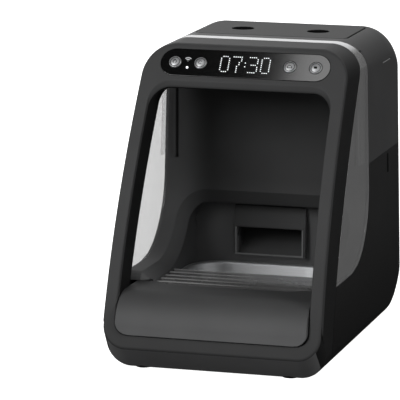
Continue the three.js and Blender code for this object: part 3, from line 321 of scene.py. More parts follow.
def ramp(tree, source, low, high, low_at=0.3, high_at=0.7):
    node = tree.nodes.new("ShaderNodeValToRGB")
    node.color_ramp.elements[0].position = low_at
    node.color_ramp.elements[1].position = high_at
    node.color_ramp.elements[0].color = (*low, 1)
    node.color_ramp.elements[1].color = (*high, 1)
    tree.links.new(source, node.inputs["Fac"])
    return node.outputs["Color"]


def spread(tree, source, low=0.0, high=1.0, start=0.0, end=1.0):
    """Maps the source from start and end to low and high."""
    node = tree.nodes.new("ShaderNodeMapRange")
    preset(node, {"From Min": start, "From Max": end, "To Min": low, "To Max": high})
    tree.links.new(source, node.inputs["Value"])
    return node.outputs["Result"]


def position(tree, axis, kind="Object"):
    """The place on an axis of the object, in metres, or of a world direction."""
    coordinates = tree.nodes.new("ShaderNodeTexCoord")
    axes = tree.nodes.new("ShaderNodeSeparateXYZ")
    tree.links.new(coordinates.outputs[kind], axes.inputs["Vector"])
    return axes.outputs[axis]


def calculate(tree, operation, *values):
    """A Math node: each value is a socket or a number."""
    node = tree.nodes.new("ShaderNodeMath")
    node.operation = operation
    for socket, value in zip(node.inputs, values):
        if isinstance(value, bpy.types.NodeSocket):
            tree.links.new(value, socket)
        else:
            socket.default_value = value
    return node.outputs["Value"]


def mixed(tree, share, first, second):
    """A colour mix of a socket and a socket or a plain colour."""
    node = tree.nodes.new("ShaderNodeMix")
    node.data_type = "RGBA"
    tree.links.new(share, node.inputs["Factor"])
    tree.links.new(first, node.inputs["A"])
    if isinstance(second, bpy.types.NodeSocket):
        tree.links.new(second, node.inputs["B"])
    else:
        node.inputs["B"].default_value = (*second, 1)
    return node.outputs["Result"]


def bump(tree, shader, source, strength, distance):
    node = tree.nodes.new("ShaderNodeBump")
    preset(node, {"Strength": strength, "Distance": distance})
    tree.links.new(source, node.inputs["Height"])
    tree.links.new(node.outputs["Normal"], shader.inputs["Normal"])


def grey(value, tint=0.0):
    return (value, value * (1 + tint * 0.4), value * (1 + tint))


def toned(tree, source, value, tint=0.02, below=0.93, above=1.07):
    """A grey that changes a little with the source."""
    shades = (grey(value * below, tint), grey(value * above, tint))
    return ramp(tree, source, *shades)


def share_along(tree, axis, low, high):
    """0 at low, 1 at high along an axis, in millimetres."""
    share = spread(tree, position(tree, axis), start=low * MM, end=high * MM)
    share.node.interpolation_type = "SMOOTHSTEP"
    return share


def surface(name, value, tint, shades, tone, sheen, rough, grain=None, **settings):
    """A grey surface: tone and sheen are noises, rough the range, grain the bump."""
    made, tree, shader = material(name)
    tone = noise(tree, *tone)
    fine = noise(tree, *sheen) if sheen else tone
    tree.links.new(toned(tree, tone, value, tint, *shades), shader.inputs["Base Color"])
    tree.links.new(spread(tree, fine, *rough), shader.inputs["Roughness"])
    if grain is not None:
        bump(tree, shader, fine, grain, 0.0002)
    preset(shader, settings)
    return made


def plastic(name, value, rough=0.5, tint=0.02, grain=0.05, specular=0.5):
    """Moulded plastic: a fine grain and a faint change of tone."""
    settings = {"Specular IOR Level": specular}
    ends = (rough - 0.05, rough + 0.05)
    shades, tone, fine = (0.93, 1.07), (14,), (2600,)
    return surface(name, value, tint, shades, tone, fine, ends, grain, **settings)


def metal(name, value, rough=0.3, stretch=(1, 1, 1), scale=400, tint=0.03, grain=0.05):
    ends = (rough * 0.8, rough * 1.25)
    lines = (scale, 4, 0.7, stretch)
    return surface(name, value, tint, (0.9, 1.08), lines, None, ends, grain, Metallic=1)


def clear(name, value, alpha, rough=0.06):
    ends = (rough * 0.7, rough * 1.3)
    return surface(name, value, 0.0, (0.95, 1.05), (9,), (60,), ends, Alpha=alpha)


def shaded(look, low_value, high_value, low, high, axis="Z", tint=0.02):
    """A moulded plastic with painted light and shade: its tone changes a little along an axis."""
    tree = look.node_tree
    shader = tree.nodes["Principled BSDF"]
    tone = noise(tree, 14)
    share = share_along(tree, axis, low, high)
    foot, head = (toned(tree, tone, value, tint) for value in (low_value, high_value))
    tree.links.new(mixed(tree, share, foot, head), shader.inputs["Base Color"])
    return look


def glowing(name, colour, strength):
    made, tree, shader = material(name)
    base = ramp(tree, noise(tree, 900), [c * 0.92 for c in colour], colour)
    tree.links.new(base, shader.inputs["Base Color"])
    tree.links.new(base, shader.inputs["Emission Color"])
    shader.inputs["Emission Strength"].default_value = strength
    return made


def matt(name, value, *tones):
    """The plastic of the walls: tones are what shaded() takes, for painted light and shade."""
    look = plastic(name, value, 0.6, specular=0.25)
    return shaded(look, *tones) if tones else look


def satin(name, value, rough=0.55):
    return plastic(name, value, rough, specular=0.3)


# Painted light: the face is a little lighter higher up
face_plastic = shaded(satin("face_plastic", 0.05, 0.6), 0.043, 0.048, 8, 60)
# Painted shade: a darker copy of the frame's plastic for its outer sides, lighter towards the top
# where light falls
side_plastic = matt("side_plastic", 0.013, 0.012, 0.045, 298, 321)
# Painted light: a paler copy of the frame's plastic for its down-turned chin
chin_painted_light = satin("chin_painted_light", 0.155, 0.6)
# Painted shade: a darker copy of the frame's plastic for its inner walls
throat_painted_shade = plastic("throat_painted_shade", 0.011, 0.6, specular=0.15)
shell_plastic = satin("shell_plastic", 0.06)
# Painted shade: the lower housing darkens towards the bottom
tub_plastic = shaded(satin("tub_plastic", 0.016), 0.005, 0.018, 20, 150)
# Painted light: the liner is lighter towards its left side
liner_plastic = matt("liner_plastic", 0.05, 0.11, 0.052, -100, -60, "X")
# Painted shade: the lip is a darker copy of the liner's plastic, darkest at its left
lip_plastic = matt("lip_plastic", 0.028, 0.004, 0.038, -80, -40, "X")
# Painted light: the apron is lighter lower down
apron_plastic = matt("apron_plastic", 0.05, 0.145, 0.058, 40, 76)
lid_plastic = satin("lid_plastic", 0.033, 0.6)
hood_plastic = satin("hood_plastic", 0.05)
# Pale plastic of the mouth's trim; on the hood's side faces it is painted light
trim_and_lit_side_plastic = satin("trim_and_lit_side_plastic", 0.19, 0.5)
chamber_plastic = matt("chamber_plastic", 0.11)
chute_plastic = satin("chute_plastic", 0.085)
inner_plastic = matt("inner_plastic", 0.025)
pale_plastic = plastic("pale_plastic", 0.6, 0.5)
gloss_black = plastic("gloss_black", 0.002, 0.09, grain=0.0, specular=0.75)
# Black standing for shade in recesses, grooves and gaps (painted shade), and the print of the
# buttons' signs
shade_and_print_black = plastic("shade_and_print_black", 0.003, 0.7, specular=0.1)
rubber_black = plastic("rubber_black", 0.012, 0.85, grain=0.3, specular=0.2)
seal_rubber = plastic("seal_rubber", 0.5, 0.8)
# Painted highlight: the pale strips in the side grooves
groove_highlight_pale = plastic("groove_highlight_pale", 0.4, 0.4)

# The clear band: a paler, denser edge over the top, a painted highlight for light shining through
# it; clear windows below
band_clear = clear("band_clear", 0.36, 0.42, 0.1)
tree = band_clear.node_tree
shader = tree.nodes["Principled BSDF"]
painted_glow = share_along(tree, "Z", 309.5, 320.5)
tree.links.new(spread(tree, painted_glow, 0.42, 0.94), shader.inputs["Alpha"])
plain = shader.inputs["Base Color"].links[0].from_socket
tree.links.new(mixed(tree, painted_glow, plain, (0.85, 0.86, 0.87)), shader.inputs["Base Color"])
guide_clear = clear("guide_clear", 0.7, 0.14, 0.1)

# The shutter: painted highlights on the rib crests that fade towards the right
smoked = clear("smoked", 0.05, 0.62, 0.25)
ribbed_highlit = clear("ribbed_highlit", 0.05, 0.62, 0.25)
tree = ribbed_highlit.node_tree
turn_rate = 2 * math.pi / (RIB_PITCH * MM)
turns = calculate(tree, "MULTIPLY_ADD", position(tree, "Y"), turn_rate, -RIB_REAR * MM * turn_rate)
crest_highlight = spread(tree, calculate(tree, "COSINE", turns), start=0.1)
aside = spread(tree, position(tree, "X"), 1.0, 0.22, -0.085, 0.02)
painted_highlight = calculate(tree, "MULTIPLY", crest_highlight, aside)
highlight_stripes = ramp(tree, painted_highlight, grey(0.11), grey(0.97), 0.0, 1.0)
tree.links.new(highlight_stripes, tree.nodes["Principled BSDF"].inputs["Base Color"])

tank_smoked = clear("tank_smoked", 0.05, 0.8, 0.2)
steel = metal("steel", 0.68, 0.56, (1, 1, 14), 60)
motor_metal = metal("motor_metal", 0.4, 0.4)
button_metal = metal("button_metal", 0.55, 0.45, scale=900)
copper = metal("copper", 0.45, 0.35, tint=-0.6)
board_green = plastic("board_green", 0.05, 0.4, tint=-0.3)
light_white = glowing("light_white", (0.95, 0.97, 1.0), 1.2)
dot_white = glowing("dot_white", (0.85, 0.88, 0.9), 0.85)
icon_grey = glowing("icon_grey", (0.5, 0.51, 0.52), 0.2)


def dress(obj, look):
    obj.data.materials.clear()
    obj.data.materials.append(look)
    for polygon in obj.data.polygons:
        polygon.material_index = 0
    return obj


def piece(obj, look, body, slot, *replaced):
    dress(obj, look)
    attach(obj, body)
    if replaced:
        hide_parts(*replaced)
    return obj


def dress_by_place(obj, looks, choose):
    """choose(centre in millimetres, normal) gives each polygon's place in looks."""
    obj.data.materials.clear()
    for look in looks:
        obj.data.materials.append(look)
    for polygon in obj.data.polygons:
        polygon.material_index = choose(polygon.center / MM, polygon.normal)


# Camera: the photograph's viewing angle

camera_data = bpy.data.cameras.new("camera")
camera = new_object("camera", camera_data)
bpy.context.scene.camera = camera
AZIMUTH, ELEVATION, ROLL = map(math.radians, (16.43, 11.0, 0.1))
DISTANCE = 3.262
SENSOR, FOCAL_PIXELS, PICTURE = 36, 3262, 400
TARGET = Vector((0, -0.220, 0.191))
level = math.cos(ELEVATION)
back = Vector((math.sin(AZIMUTH) * level, -math.cos(AZIMUTH) * level, math.sin(ELEVATION)))
camera.location = TARGET + back * DISTANCE
camera.rotation_mode = "QUATERNION"
turn = (-back).to_track_quat("-Z", "Y")
camera.rotation_quaternion = turn @ Matrix.Rotation(ROLL, 4, "Z").to_quaternion()
camera_data.sensor_width = SENSOR
camera_data.lens = SENSOR * FOCAL_PIXELS / PICTURE
camera_data.clip_start = 0.1
camera_data.clip_end = 50

# Front frame

outer = case_outline(0)
outer_inside = case_outline(2.5)
CHIN_RECESS, CHIN_FOOT, CHIN_CORNER, CHIN_START = 19, 0.2, 27, 48
outer_front = front_outline(case_half, CHIN_FOOT, CASE_HEIGHT, CHIN_CORNER, TOP_CORNER)
FACE_INSET, FACE_TOP_DROP, FACE_FOOT_CORNER, FACE_TOP_CORNER = 1.2, 2, 24, 28
face_edge = front_outline(
    lambda z: case_half(z) - FACE_INSET,
    FACE_FOOT_Z,
    CASE_HEIGHT - FACE_TOP_DROP,
    FACE_FOOT_CORNER,
    FACE_TOP_CORNER,
)
mouth = opening_outline(0, 0)
throat = opening_outline(-0.8, 9)
throat_outside = opening_outline(1.7, 9)


def chin_depth(z):
    """How far the frame's front edge stands back below the face."""
    share = (CHIN_START - z) / (CHIN_START - CHIN_FOOT - CHIN_CORNER)
    return CHIN_RECESS * min(max(share, 0), 1)


def frame_station(i):
    chin = chin_depth(outer_front[i][1])

    def at(outline, depth):
        x, z = outline[i]
        return (x, face_y(z) + depth, z)

    def rear(outline, line=seam_y):
        x, z = outline[i]
        return (x, line(z), z)

    # Each corner of the ring's section with its rounding
    chain = [
        (rear(outer), 0.5),
        (at(outer_front, 3 + chin), 2.4),
        (at(face_edge, 0), 2.4),
        (at(mouth, 0), 1.6),
        (at(throat, 5), 4),
        (rear(throat, throat_y), 0.5),
        (rear(throat_outside, throat_y), 0.5),
        (at(throat_outside, 8), 1),
        (at(outer_inside, 6 + chin), 1),
        (rear(outer_inside), 0.5),
    ]
    return rounded_chain(*zip(*chain))


stations = [frame_station(i) for i in range(len(outer))]
frame_shell = loft("frame_shell", stations, close_rows=True, close_columns=True)

panel_slope = (face_y(LEVEL_PANEL + 0.3) - face_y(LEVEL_PANEL - 0.3)) / 0.6
panel_turn = Matrix.Translation(
    Vector((0, face_y(LEVEL_PANEL), LEVEL_PANEL)) * MM
) @ Matrix.Rotation(math.pi / 2 - math.atan(panel_slope), 4, "X")


def on_panel(obj):
    obj.data.transform(panel_turn)
    return obj


def pill(half_length, radius, steps=24):
    straight = half_length - radius
    return arc(straight, 0, radius, -90, 90, steps) + arc(-straight, 0, radius, 90, 270, steps)


PANEL_HALF, PANEL_RADIUS, PANEL_DEPTH = 91.9, 16, 2.3
recess = prism("recess", pill(PANEL_HALF, PANEL_RADIUS), upright, -PANEL_DEPTH, 6)
carve(frame_shell, [on_panel(recess)])
soften(frame_shell, bevel=False, angle=50)
piece(frame_shell, face_plastic, "base", "dark_shell", "front_frame")


def frame_region(centre, normal):
    """0 the face and its edges, 1 the outer sides and top, 2 the inner walls, 3 the chin: lit and
    shaded copies of the frame's plastic, painted light and shade.
    """
    depth = centre.y - face_y(centre.z)
    side = abs(normal.x)
    chin = normal.y < -0.2 and normal.z < 0.5 * side - 0.57 and side < 0.72
    if centre.z < FACE_FOOT_Z + FACE_FOOT_CORNER and chin:
        return 3
    if depth < 5.4:
        return 0
    if normal.x * centre.x + normal.z * (centre.z - 160) < 0:
        return 2
    return 1


# The frame takes lit and shaded copies of one plastic: painted light and shade
dress_by_place(
    frame_shell, [face_plastic, side_plastic, throat_painted_shade, chin_painted_light], frame_region
)

# Control strip

LENS_FRONT = 0.2
LENS_HALF, LENS_RADIUS = 91.6, 15.7
LENS_EDGE = ((0.0, -2.2), (0.0, -0.5), (0.15, -0.15), (0.5, 0.0))
lens_rings = [
    [(x, y, LENS_FRONT + drop) for x, y in pill(LENS_HALF - inset, LENS_RADIUS - inset)]
    for inset, drop in LENS_EDGE
]
lens = loft("panel_glass", lens_rings, close_columns=True)
edit(lens.data, fill_ends)
BUTTONS = (-76, -48.3, 48.3, 76)
BUTTON_HOLE = 7.2
STATUS_HOLE = (-62, -5.8, 1.5)


def disc_outline(cx, cy, radius, steps=32):
    return arc(cx, cy, radius, 0, 360, steps)[:-1]


LENS_HOLES = [disc_outline(x, 0, BUTTON_HOLE, 48) for x in BUTTONS]
LENS_HOLES.append(disc_outline(*STATUS_HOLE, 16))
carve(lens, [prism("hole", disc, upright, -6, 6) for disc in LENS_HOLES])
on_panel(lens)
soften(lens, bevel=False, angle=35)
piece(lens, gloss_black, "base", "black_gloss", "panel_lens")


def lathe(name, profile, cx, cy, steps=48):
    rings = []
    for i in range(steps):
        angle = 2 * math.pi * i / steps
        rings.append([(cx + r * math.cos(angle), cy + r * math.sin(angle), z) for r, z in profile])
    return loft(name, rings, close_rows=True)


CAP = [(0, -2.4), (6.6, -2.4), (6.6, 0.0), (6.5, 0.35), (6.2, 0.65), (5.8, 0.8), (5.4, 0.78)]
CAP += [(5.1, 0.6), (4.9, 0.56)]
CAP += [
    (4.8 * math.cos(math.radians(a)), 0.58 + 0.9 * math.sin(math.radians(a)))
    for a in range(8, 91, 8)
]
CAP[-1] = (0, 1.5)
for number, x in enumerate(BUTTONS, 1):
    cap = on_panel(lathe(f"button_cap_{number}", CAP, x, 0))
    soften(cap, bevel=False, angle=40)
    piece(cap, button_metal, f"button_body_{number}", "button_metal", f"button_{number}")

    # A black ring in the groove round each cap: painted shade
    groove = [(4.75, 0.5), (5.4, 0.5), (5.4, 0.84), (4.75, 0.84), (4.75, 0.5)]
    ring = on_panel(lathe(f"button_groove_{number}", groove, x, 0))
    piece(ring, shade_and_print_black, f"button_body_{number}", "button_metal")

# Dot matrix digits and small signs on the strip

DIGITS = {
    "0": ("01110",) + ("10001",) * 7 + ("01110",),
    "3": ("11110", "00001", "00001", "00001", "01110", "00001", "00001", "00001", "11110"),
    "7": ("11111", "00001", "00001", "00010", "00010", "00100", "00100", "00100", "00100"),
    ":": ("0", "0", "0", "1", "0", "1", "0", "0", "0"),
}


def dots(name, centres, radius, z, thickness):
    points, faces = [], []
    for cx, cy in centres:
        first = len(points)
        ring = disc_outline(cx, cy, radius, 8)
        points += [(x, y, z) for x, y in ring] + [(x, y, z + thickness) for x, y in ring]
        faces.append(tuple(first + i for i in range(7, -1, -1)))
        faces.append(tuple(first + 8 + i for i in range(8)))
        faces += [
            (first + i, first + (i + 1) % 8, first + 8 + (i + 1) % 8, first + 8 + i)
            for i in range(8)
        ]
    return on_panel(from_faces(name, points, faces))


DOT_PITCH = 2.2
columns = []
cursor = 0
for sign in "07:30":
    pattern = DIGITS[sign]
    width = len(pattern[0])
    for row, line in enumerate(pattern):
        for column, mark in enumerate(line):
            if mark == "1":
                columns.append((cursor + column, 4 - row))
    cursor += width + 1
shift = (cursor - 2) / 2
centres = [((c - shift) * DOT_PITCH, r * DOT_PITCH) for c, r in columns]
digits = dots("display_dots", centres, 0.62, LENS_FRONT - 0.02, 0.06)
piece(digits, dot_white, "base", "light_plastic")


def ribbon(name, outline, z, thickness):
    return on_panel(prism(name, outline, upright, z, z + thickness))


def arch_band(cx, cy, inner, outer, start, end, steps=12):
    return arc(cx, cy, outer, start, end, steps) + arc(cx, cy, inner, end, start, steps)


for number, (inner, outside) in enumerate(((0, 0.9), (1.8, 2.8), (3.8, 4.9)), 1):
    shape = arch_band(-62.3, 1.2, max(inner, 0.05), outside, 44, 136)
    sign = ribbon(f"signal_arc_{number}", shape, LENS_FRONT - 0.02, 0.05)
    piece(sign, icon_grey, "base", "light_plastic")

# Small generic signs on the buttons

ICON_Z = 1.2


def icon_piece(name, outline, number):
    made = ribbon(name, outline, ICON_Z, 0.36)
    piece(made, shade_and_print_black, f"button_body_{number}", "light_plastic")


icon_piece("icon_ring_1", arch_band(BUTTONS[0], 0, 1.5, 2.1, -60, 240), 1)
icon_piece("icon_bar_1", rounded_rectangle(-76.3, -75.7, 0.2, 2.6, 0.2, 3), 1)
icon_piece("icon_ring_2", arch_band(BUTTONS[1], 0, 1.5, 2.1, 20, 320), 2)
icon_piece("icon_roof_3", arch_band(BUTTONS[2], -1.2, 2.0, 2.6, 0, 180), 3)
icon_piece("icon_base_3", rounded_rectangle(45.6, 51, -1.9, -1.3, 0.2, 3), 3)
icon_piece("icon_box_4", rounded_rectangle(74.2, 77.8, -1.3, 1.3, 0.5, 4), 4)

# Apron: rounded front lip and deck

NOSE_Y, NOSE_Z, NOSE_R = -151.8, 46.5, 33.0
DECK_TOP = 79.5
DECK_EDGE = 79.2
DECK_HALF, DECK_CORNER = 84, 28
DECK_REAR, DECK_SIDE_REAR = -119.0, -108.0
APRON_FOOT = 37.9
APRON_GAP, APRON_FOOT_GAP = 1.2, 0.4


def apron_half(z):
    """The apron's half width, rounded at its lower corners."""
    centre_z = OPENING_FOOT + OPENING_FOOT_CORNER + APRON_FOOT_GAP
    radius = OPENING_FOOT_CORNER - APRON_FOOT_GAP
    side = opening_half(max(z, centre_z)) - APRON_GAP
    if z >= centre_z:
        return side
    return side - radius + math.sqrt(max(radius**2 - (centre_z - z) ** 2, 0))


def deck_rear(x):
    """The deck's rear edge, rounded round the bowl."""
    flat = DECK_HALF - DECK_CORNER
    reach = abs(x)
    if reach <= flat:
        return DECK_REAR
    if reach >= DECK_HALF:
        return DECK_SIDE_REAR
    drop = DECK_CORNER - math.sqrt(DECK_CORNER**2 - (reach - flat) ** 2)
    return min(DECK_REAR + drop, DECK_SIDE_REAR)


def apron_rows():
    """Rows of (kind, place, normal y, normal z), from the deck's rear edge to the foot."""
    rows = [("rear", 76.5, 0, 0.0), ("rear", 78.5, 1, 0.0), ("rear", DECK_EDGE, 0.8, 0.6)]
    for i in range(9):
        rows.append(("deck", i / 8, 0, 1))
    for i in range(1, 29):
        angle = math.radians(lerp(90, 180, i / 28))
        ny, nz = math.cos(angle), math.sin(angle)
        rows.append(("nose", (NOSE_Y + NOSE_R * ny, NOSE_Z + NOSE_R * nz), ny, nz))
    for z in (44.5, 42.5, 40.5, 39.0, 38.3):
        rows.append(("nose", (NOSE_Y - NOSE_R, z), -1, 0))
    rows.append(("nose", (NOSE_Y - NOSE_R + 0.25, 38.0), -0.7, -0.7))
    rows.append(("nose", (NOSE_Y - NOSE_R + 0.7, APRON_FOOT), 0, -1))
    rows.append(("nose", (NOSE_Y - NOSE_R + 3, APRON_FOOT), 0, -1))
    return rows


def across(half, edge=0.9, steps=64):
    """(x, drop) over the width: drop is how far the rounded end falls."""
    right = []
    for k in range(6):
        angle = math.radians(lerp(0, 90, k / 5))
        right.append((half - edge + edge * math.cos(angle), edge - edge * math.sin(angle)))
    inner = half - edge
    middle = [(lerp(inner, -inner, i / steps), 0.0) for i in range(1, steps)]
    return right + middle + [(-x, drop) for x, drop in reversed(right)]


rings = []
for kind, where, ny, nz in apron_rows():
    z = {"rear": where, "deck": DECK_TOP}.get(kind) if kind != "nose" else where[1]
    ring = []
    for x, drop in across(apron_half(z)):
        if kind == "rear":
            y = deck_rear(x) - (0.25 if z == DECK_EDGE else 0)
            ring.append((x, y, z - drop * nz))
        elif kind == "deck":
            y = lerp(deck_rear(x) - 0.8, NOSE_Y, where)
            ring.append((x, y, z - drop))
        else:
            ring.append((x, where[0] - drop * ny, where[1] - drop * nz))
    rings.append(ring)
apron = loft("apron_shell", rings)
ends = []
for side in (1, -1):
    column = [ring[0 if side > 0 else -1] for ring in rings[3:]]
    wall = [[p, (p[0], DECK_SIDE_REAR, p[2])] for p in column]
    ends.append(loft("apron_end", wall))
bpy.ops.object.select_all(action="DESELECT")
for made in [apron, *ends]:
    made.select_set(True)
bpy.context.view_layer.objects.active = apron
bpy.ops.object.join()
soften(apron, bevel=False, angle=50)
piece(apron, apron_plastic, "drawer", "grey_shell", "apron")

# Liner: back wall, forward sweep, and the arch with its rounded lip

ROOM_INSET = 3.3
LIP = 11.0
ARCH_HALF, ARCH_TOP, ARCH_CORNER = 86.0, 142.5, 22.0
SHEET_R = SWEEP + GAP
CHAMBER_REAR = 53.0
CHAMBER_FRONT, CHAMBER_FOOT = -106, 42
NOSE_FRONT = -104.0
SHOULDER = 79.8
LINER_TOP = 318.2
quarter = SHEET_R * math.pi / 2
upright_length = LINER_TOP - SWEEP_Z
flat_length = abs(NOSE_FRONT - SWEEP_Y)
nose_radius = 6.9
nose_length = nose_radius * math.pi / 2


def liner_point(s):
    """(y, z, back normal y, back normal z) at length s down from the top."""
    if s <= upright_length:
        return SWEEP_Y + SHEET_R, LINER_TOP - s, 1.0, 0.0
    s -= upright_length
    if s <= quarter:
        ny, nz = math.cos(-s / SHEET_R), math.sin(-s / SHEET_R)
        return SWEEP_Y + SHEET_R * ny, SWEEP_Z + SHEET_R * nz, ny, nz
    s -= quarter
    if s <= flat_length:
        return SWEEP_Y - s, SWEEP_Z - SHEET_R, 0.0, -1.0
    s -= flat_length
    a = math.pi / 2 + min(s / nose_radius, math.pi / 2)
    centre_z = SWEEP_Z - SHEET_R - nose_radius
    ny, nz = math.cos(a), math.sin(a)
    return NOSE_FRONT + nose_radius * ny, centre_z + nose_radius * nz, -ny, -nz


def length_at(z):
    """Length down the sheet at height z on its upright or swept part."""
    if z >= SWEEP_Z:
        return LINER_TOP - z
    return upright_length + SHEET_R * math.asin((SWEEP_Z - z) / SHEET_R)


SHEET_END = upright_length + quarter + flat_length + nose_length


def room_half(z):
    """Half width of the room at a height, with the case's rounded top corners."""
    corner = TOP_CORNER - ROOM_INSET
    centre_z = CASE_HEIGHT - ROOM_INSET - corner
    side = case_half(min(z, centre_z)) - ROOM_INSET
    if z <= centre_z:
        return side
    return side - corner + math.sqrt(max(corner**2 - (z - centre_z) ** 2, 0))


LEG_STEPS = 46


def arch_curve(grow, corner_steps=12, top_steps=24):
    """Right foot, up, over and down, as (x, length down the sheet)."""
    half = ARCH_HALF + grow
    radius = ARCH_CORNER + grow
    top_z = ARCH_TOP + grow
    corner_z = top_z - radius
    corner_s = length_at(corner_z)
    right = [(half, lerp(SHEET_END, corner_s, i / LEG_STEPS)) for i in range(LEG_STEPS)]
    right += [
        (half - radius + radius * math.cos(a), length_at(corner_z + radius * math.sin(a)))
        for a in (math.radians(90 * i / corner_steps) for i in range(corner_steps + 1))
    ]
    s_top = length_at(top_z)
    x_top = half - radius
    over = [(lerp(x_top, -x_top, i / top_steps), s_top) for i in range(1, top_steps)]
    return right + over + [(-x, s) for x, s in reversed(right)]


outer_lip = arch_curve(LIP)
inner_lip = arch_curve(0)
rim = []
count = len(outer_lip)
FLAT_TOP = 0.66  # the share of the arch's top that runs to the sheet's upper edge


def in_leg(i):
    return i < LEG_STEPS or i >= count - LEG_STEPS


for i, (x, s) in enumerate(outer_lip):
    side = 1 if i < count / 2 else -1
    share = (i - LEG_STEPS) / (count - 1 - 2 * LEG_STEPS)
    reach = (share - 0.5) * 2
    if in_leg(i):
        rim.append((side * room_half(max(liner_point(s)[1], SHOULDER)), s))
    elif abs(reach) > FLAT_TOP:
        s = lerp(outer_lip[LEG_STEPS][1], 0.0, (1 - abs(reach)) / (1 - FLAT_TOP))
        rim.append((side * room_half(liner_point(s)[1]), s))
    else:
        rim.append((-reach / FLAT_TOP * room_half(LINER_TOP), 0.0))


def place_on_sheet(x, s):
    return Vector((x, *liner_point(s)[:2]))


LIP_STEPS = (0.04, 0.12, 0.4, 0.7, 0.9, 0.97, 1.0)
SHADOW_LINES = 2  # grid lines behind the lip painted black: a painted shadow line in the gap to the chamber


def lip_section(i):
    """The chamfer from the sheet to the arch's inner edge."""
    x, s = inner_lip[i]
    y, z, ny, nz = liner_point(s)
    start = place_on_sheet(*outer_lip[i])
    end = Vector((x, y, z)) + Vector((0, ny, nz)) * (LIP * 0.8)
    return [start.lerp(end, t) for t in LIP_STEPS], end


rows = 40
FOOT_SHARE = 0.6  # the share of each leg's points that end on the chamber's foot
grid = []
for i in range(count):
    line = []
    for k in range(rows + 1):
        share = 1 - k / rows
        x = lerp(outer_lip[i][0], rim[i][0], share)
        s = lerp(outer_lip[i][1], rim[i][1], share)
        line.append(place_on_sheet(x, s))
    lip, end = lip_section(i)
    line += lip
    if in_leg(i):
        share = min(i, count - 1 - i) / LEG_STEPS
        if share < FOOT_SHARE:
            back = lerp(CHAMBER_FRONT, CHAMBER_REAR, share / FOOT_SHARE)
            target = Vector((end.x, back, CHAMBER_FOOT))
        else:
            up = (share - FOOT_SHARE) / (1 - FOOT_SHARE)
            height = lerp(CHAMBER_FOOT, ARCH_TOP - ARCH_CORNER, up)
            target = Vector((end.x, CHAMBER_REAR, height))
    else:
        target = Vector((end.x, CHAMBER_REAR, end.z))
    line += [end.lerp(target, t) for t in (0.03, 0.1, 0.25, 0.45, 0.7, 1.0)]
    grid.append([tuple(p) for p in line])
liner = loft("liner_sheet", grid)
solid = liner.modifiers.new("thickness", "SOLIDIFY")
solid.thickness = 1.6 * MM
solid.offset = -1
bake(liner)
soften(liner, bevel=False, angle=24)
piece(liner, liner_plastic, "base", "dark_shell", "liner")
LINE = len(grid[0]) - 1


def liner_region(index):
    """The grid's faces come first after thickening, in rows along each line."""
    place_in_line = index % LINE
    if index >= (count - 1) * LINE or place_in_line < rows:
        return 0
    lip_end = rows + len(LIP_STEPS)
    if place_in_line < lip_end:
        return 1
    return 2 if place_in_line < lip_end + SHADOW_LINES else 0


# The lip takes its darker copy and the lines behind it black: painted shade and a painted shadow
# line
liner.data.materials.append(lip_plastic)
liner.data.materials.append(shade_and_print_black)
for polygon in liner.data.polygons:
    polygon.material_index = liner_region(polygon.index)

MOUTH_HALF, MOUTH_LOW, MOUTH_TOP = 36.5, 80.0, 110.3
arch_plate = front_outline(
    lambda z: ARCH_HALF + 2, CHAMBER_FOOT, ARCH_TOP + 2, 0.5, ARCH_CORNER + 2, 8, 4
)
chamber_back = prism("chamber_back", arch_plate, to_rear, CHAMBER_REAR, CHAMBER_REAR + 2)
carve(chamber_back, [block("hole", -MOUTH_HALF, MOUTH_HALF, 48, 66, MOUTH_LOW, MOUTH_TOP)])
soften(chamber_back, bevel=False)
piece(chamber_back, chamber_plastic, "base", "dark_shell")

RIBS = ((97.9, 100.0, 27.6, side_plastic), (100.0, 103.4, 26.9, liner_plastic))
for side, hand in HANDS:
    for number, (near, far, front, look) in enumerate(RIBS, 1):
        rib = side_block(f"liner_rib_{hand}_{number}", side, near, far, front, 30.6, 187, 312)
        soften(rib, 0.5, 2)
        piece(rib, look, "base", "dark_shell")
saddle = block("motor_saddle", 86.3, 107, -53, -33, 47.8, 52.7)
soften(saddle, 0.6, 2)
piece(saddle, liner_plastic, "base", "dark_shell")

# Chute hood: a box over the mouth, with thin cheeks beside it

hood_side = [(52.7, 80), (45, 80), (45, 112), (50, 134), (52.7, 134)]
hood = prism("hood_shell", hood_side, to_right, -40, 40)
carve(hood, [block("hole", -MOUTH_HALF, MOUTH_HALF, 36, 60, 60, MOUTH_TOP)])
soften(hood, 0.7, 3)
piece(hood, hood_plastic, "base", "dark_shell", "chute_hood")
# The hood's side faces take the pale plastic: painted light where they would be in shade
dress_by_place(hood, [hood_plastic, trim_and_lit_side_plastic], lambda centre, normal: int(abs(normal.x) > 0.7))
TRIM = [
    block("trim", x0, x1, 44.3, 46.5, z0, z1)
    for x0, x1, z0, z1 in (
        (-38.2, -36.4, 80.2, 110.3),
        (36.4, 38.2, 80.2, 110.3),
        (-38.2, 38.2, 80.2, 81.6),
    )
]
trim = carve(TRIM[0], TRIM[1:], "UNION")
trim.name = "mouth_trim"
soften(trim, 0.3, 2)
piece(trim, trim_and_lit_side_plastic, "base", "dark_shell")

# Outer shells: rings of the case's outline, followed from front to rear

SILL = 87.0
SEAM = 190.0


def half_outline(end, edge, corner, steps, marks=()):
    """The outline from one side at height end, round the top or the foot, to the other side."""
    sense = 1 if edge > end else -1
    centre_z = edge - sense * corner
    heights = {lerp(end, centre_z, i / steps) for i in range(steps + 1)} | set(marks)
    right = [(case_half(z), z) for z in sorted(heights, reverse=sense < 0)]
    centre_x = case_half(centre_z) - corner
    right += arc(centre_x, centre_z, corner, 0, 90 * sense, 24)[1:]
    over = between(right[-1], (-right[-1][0], edge), 24)
    return right + over + [(-x, z) for x, z in reversed(right)]


TOP_WIDENING, FOOT_WIDENING = 1, 7


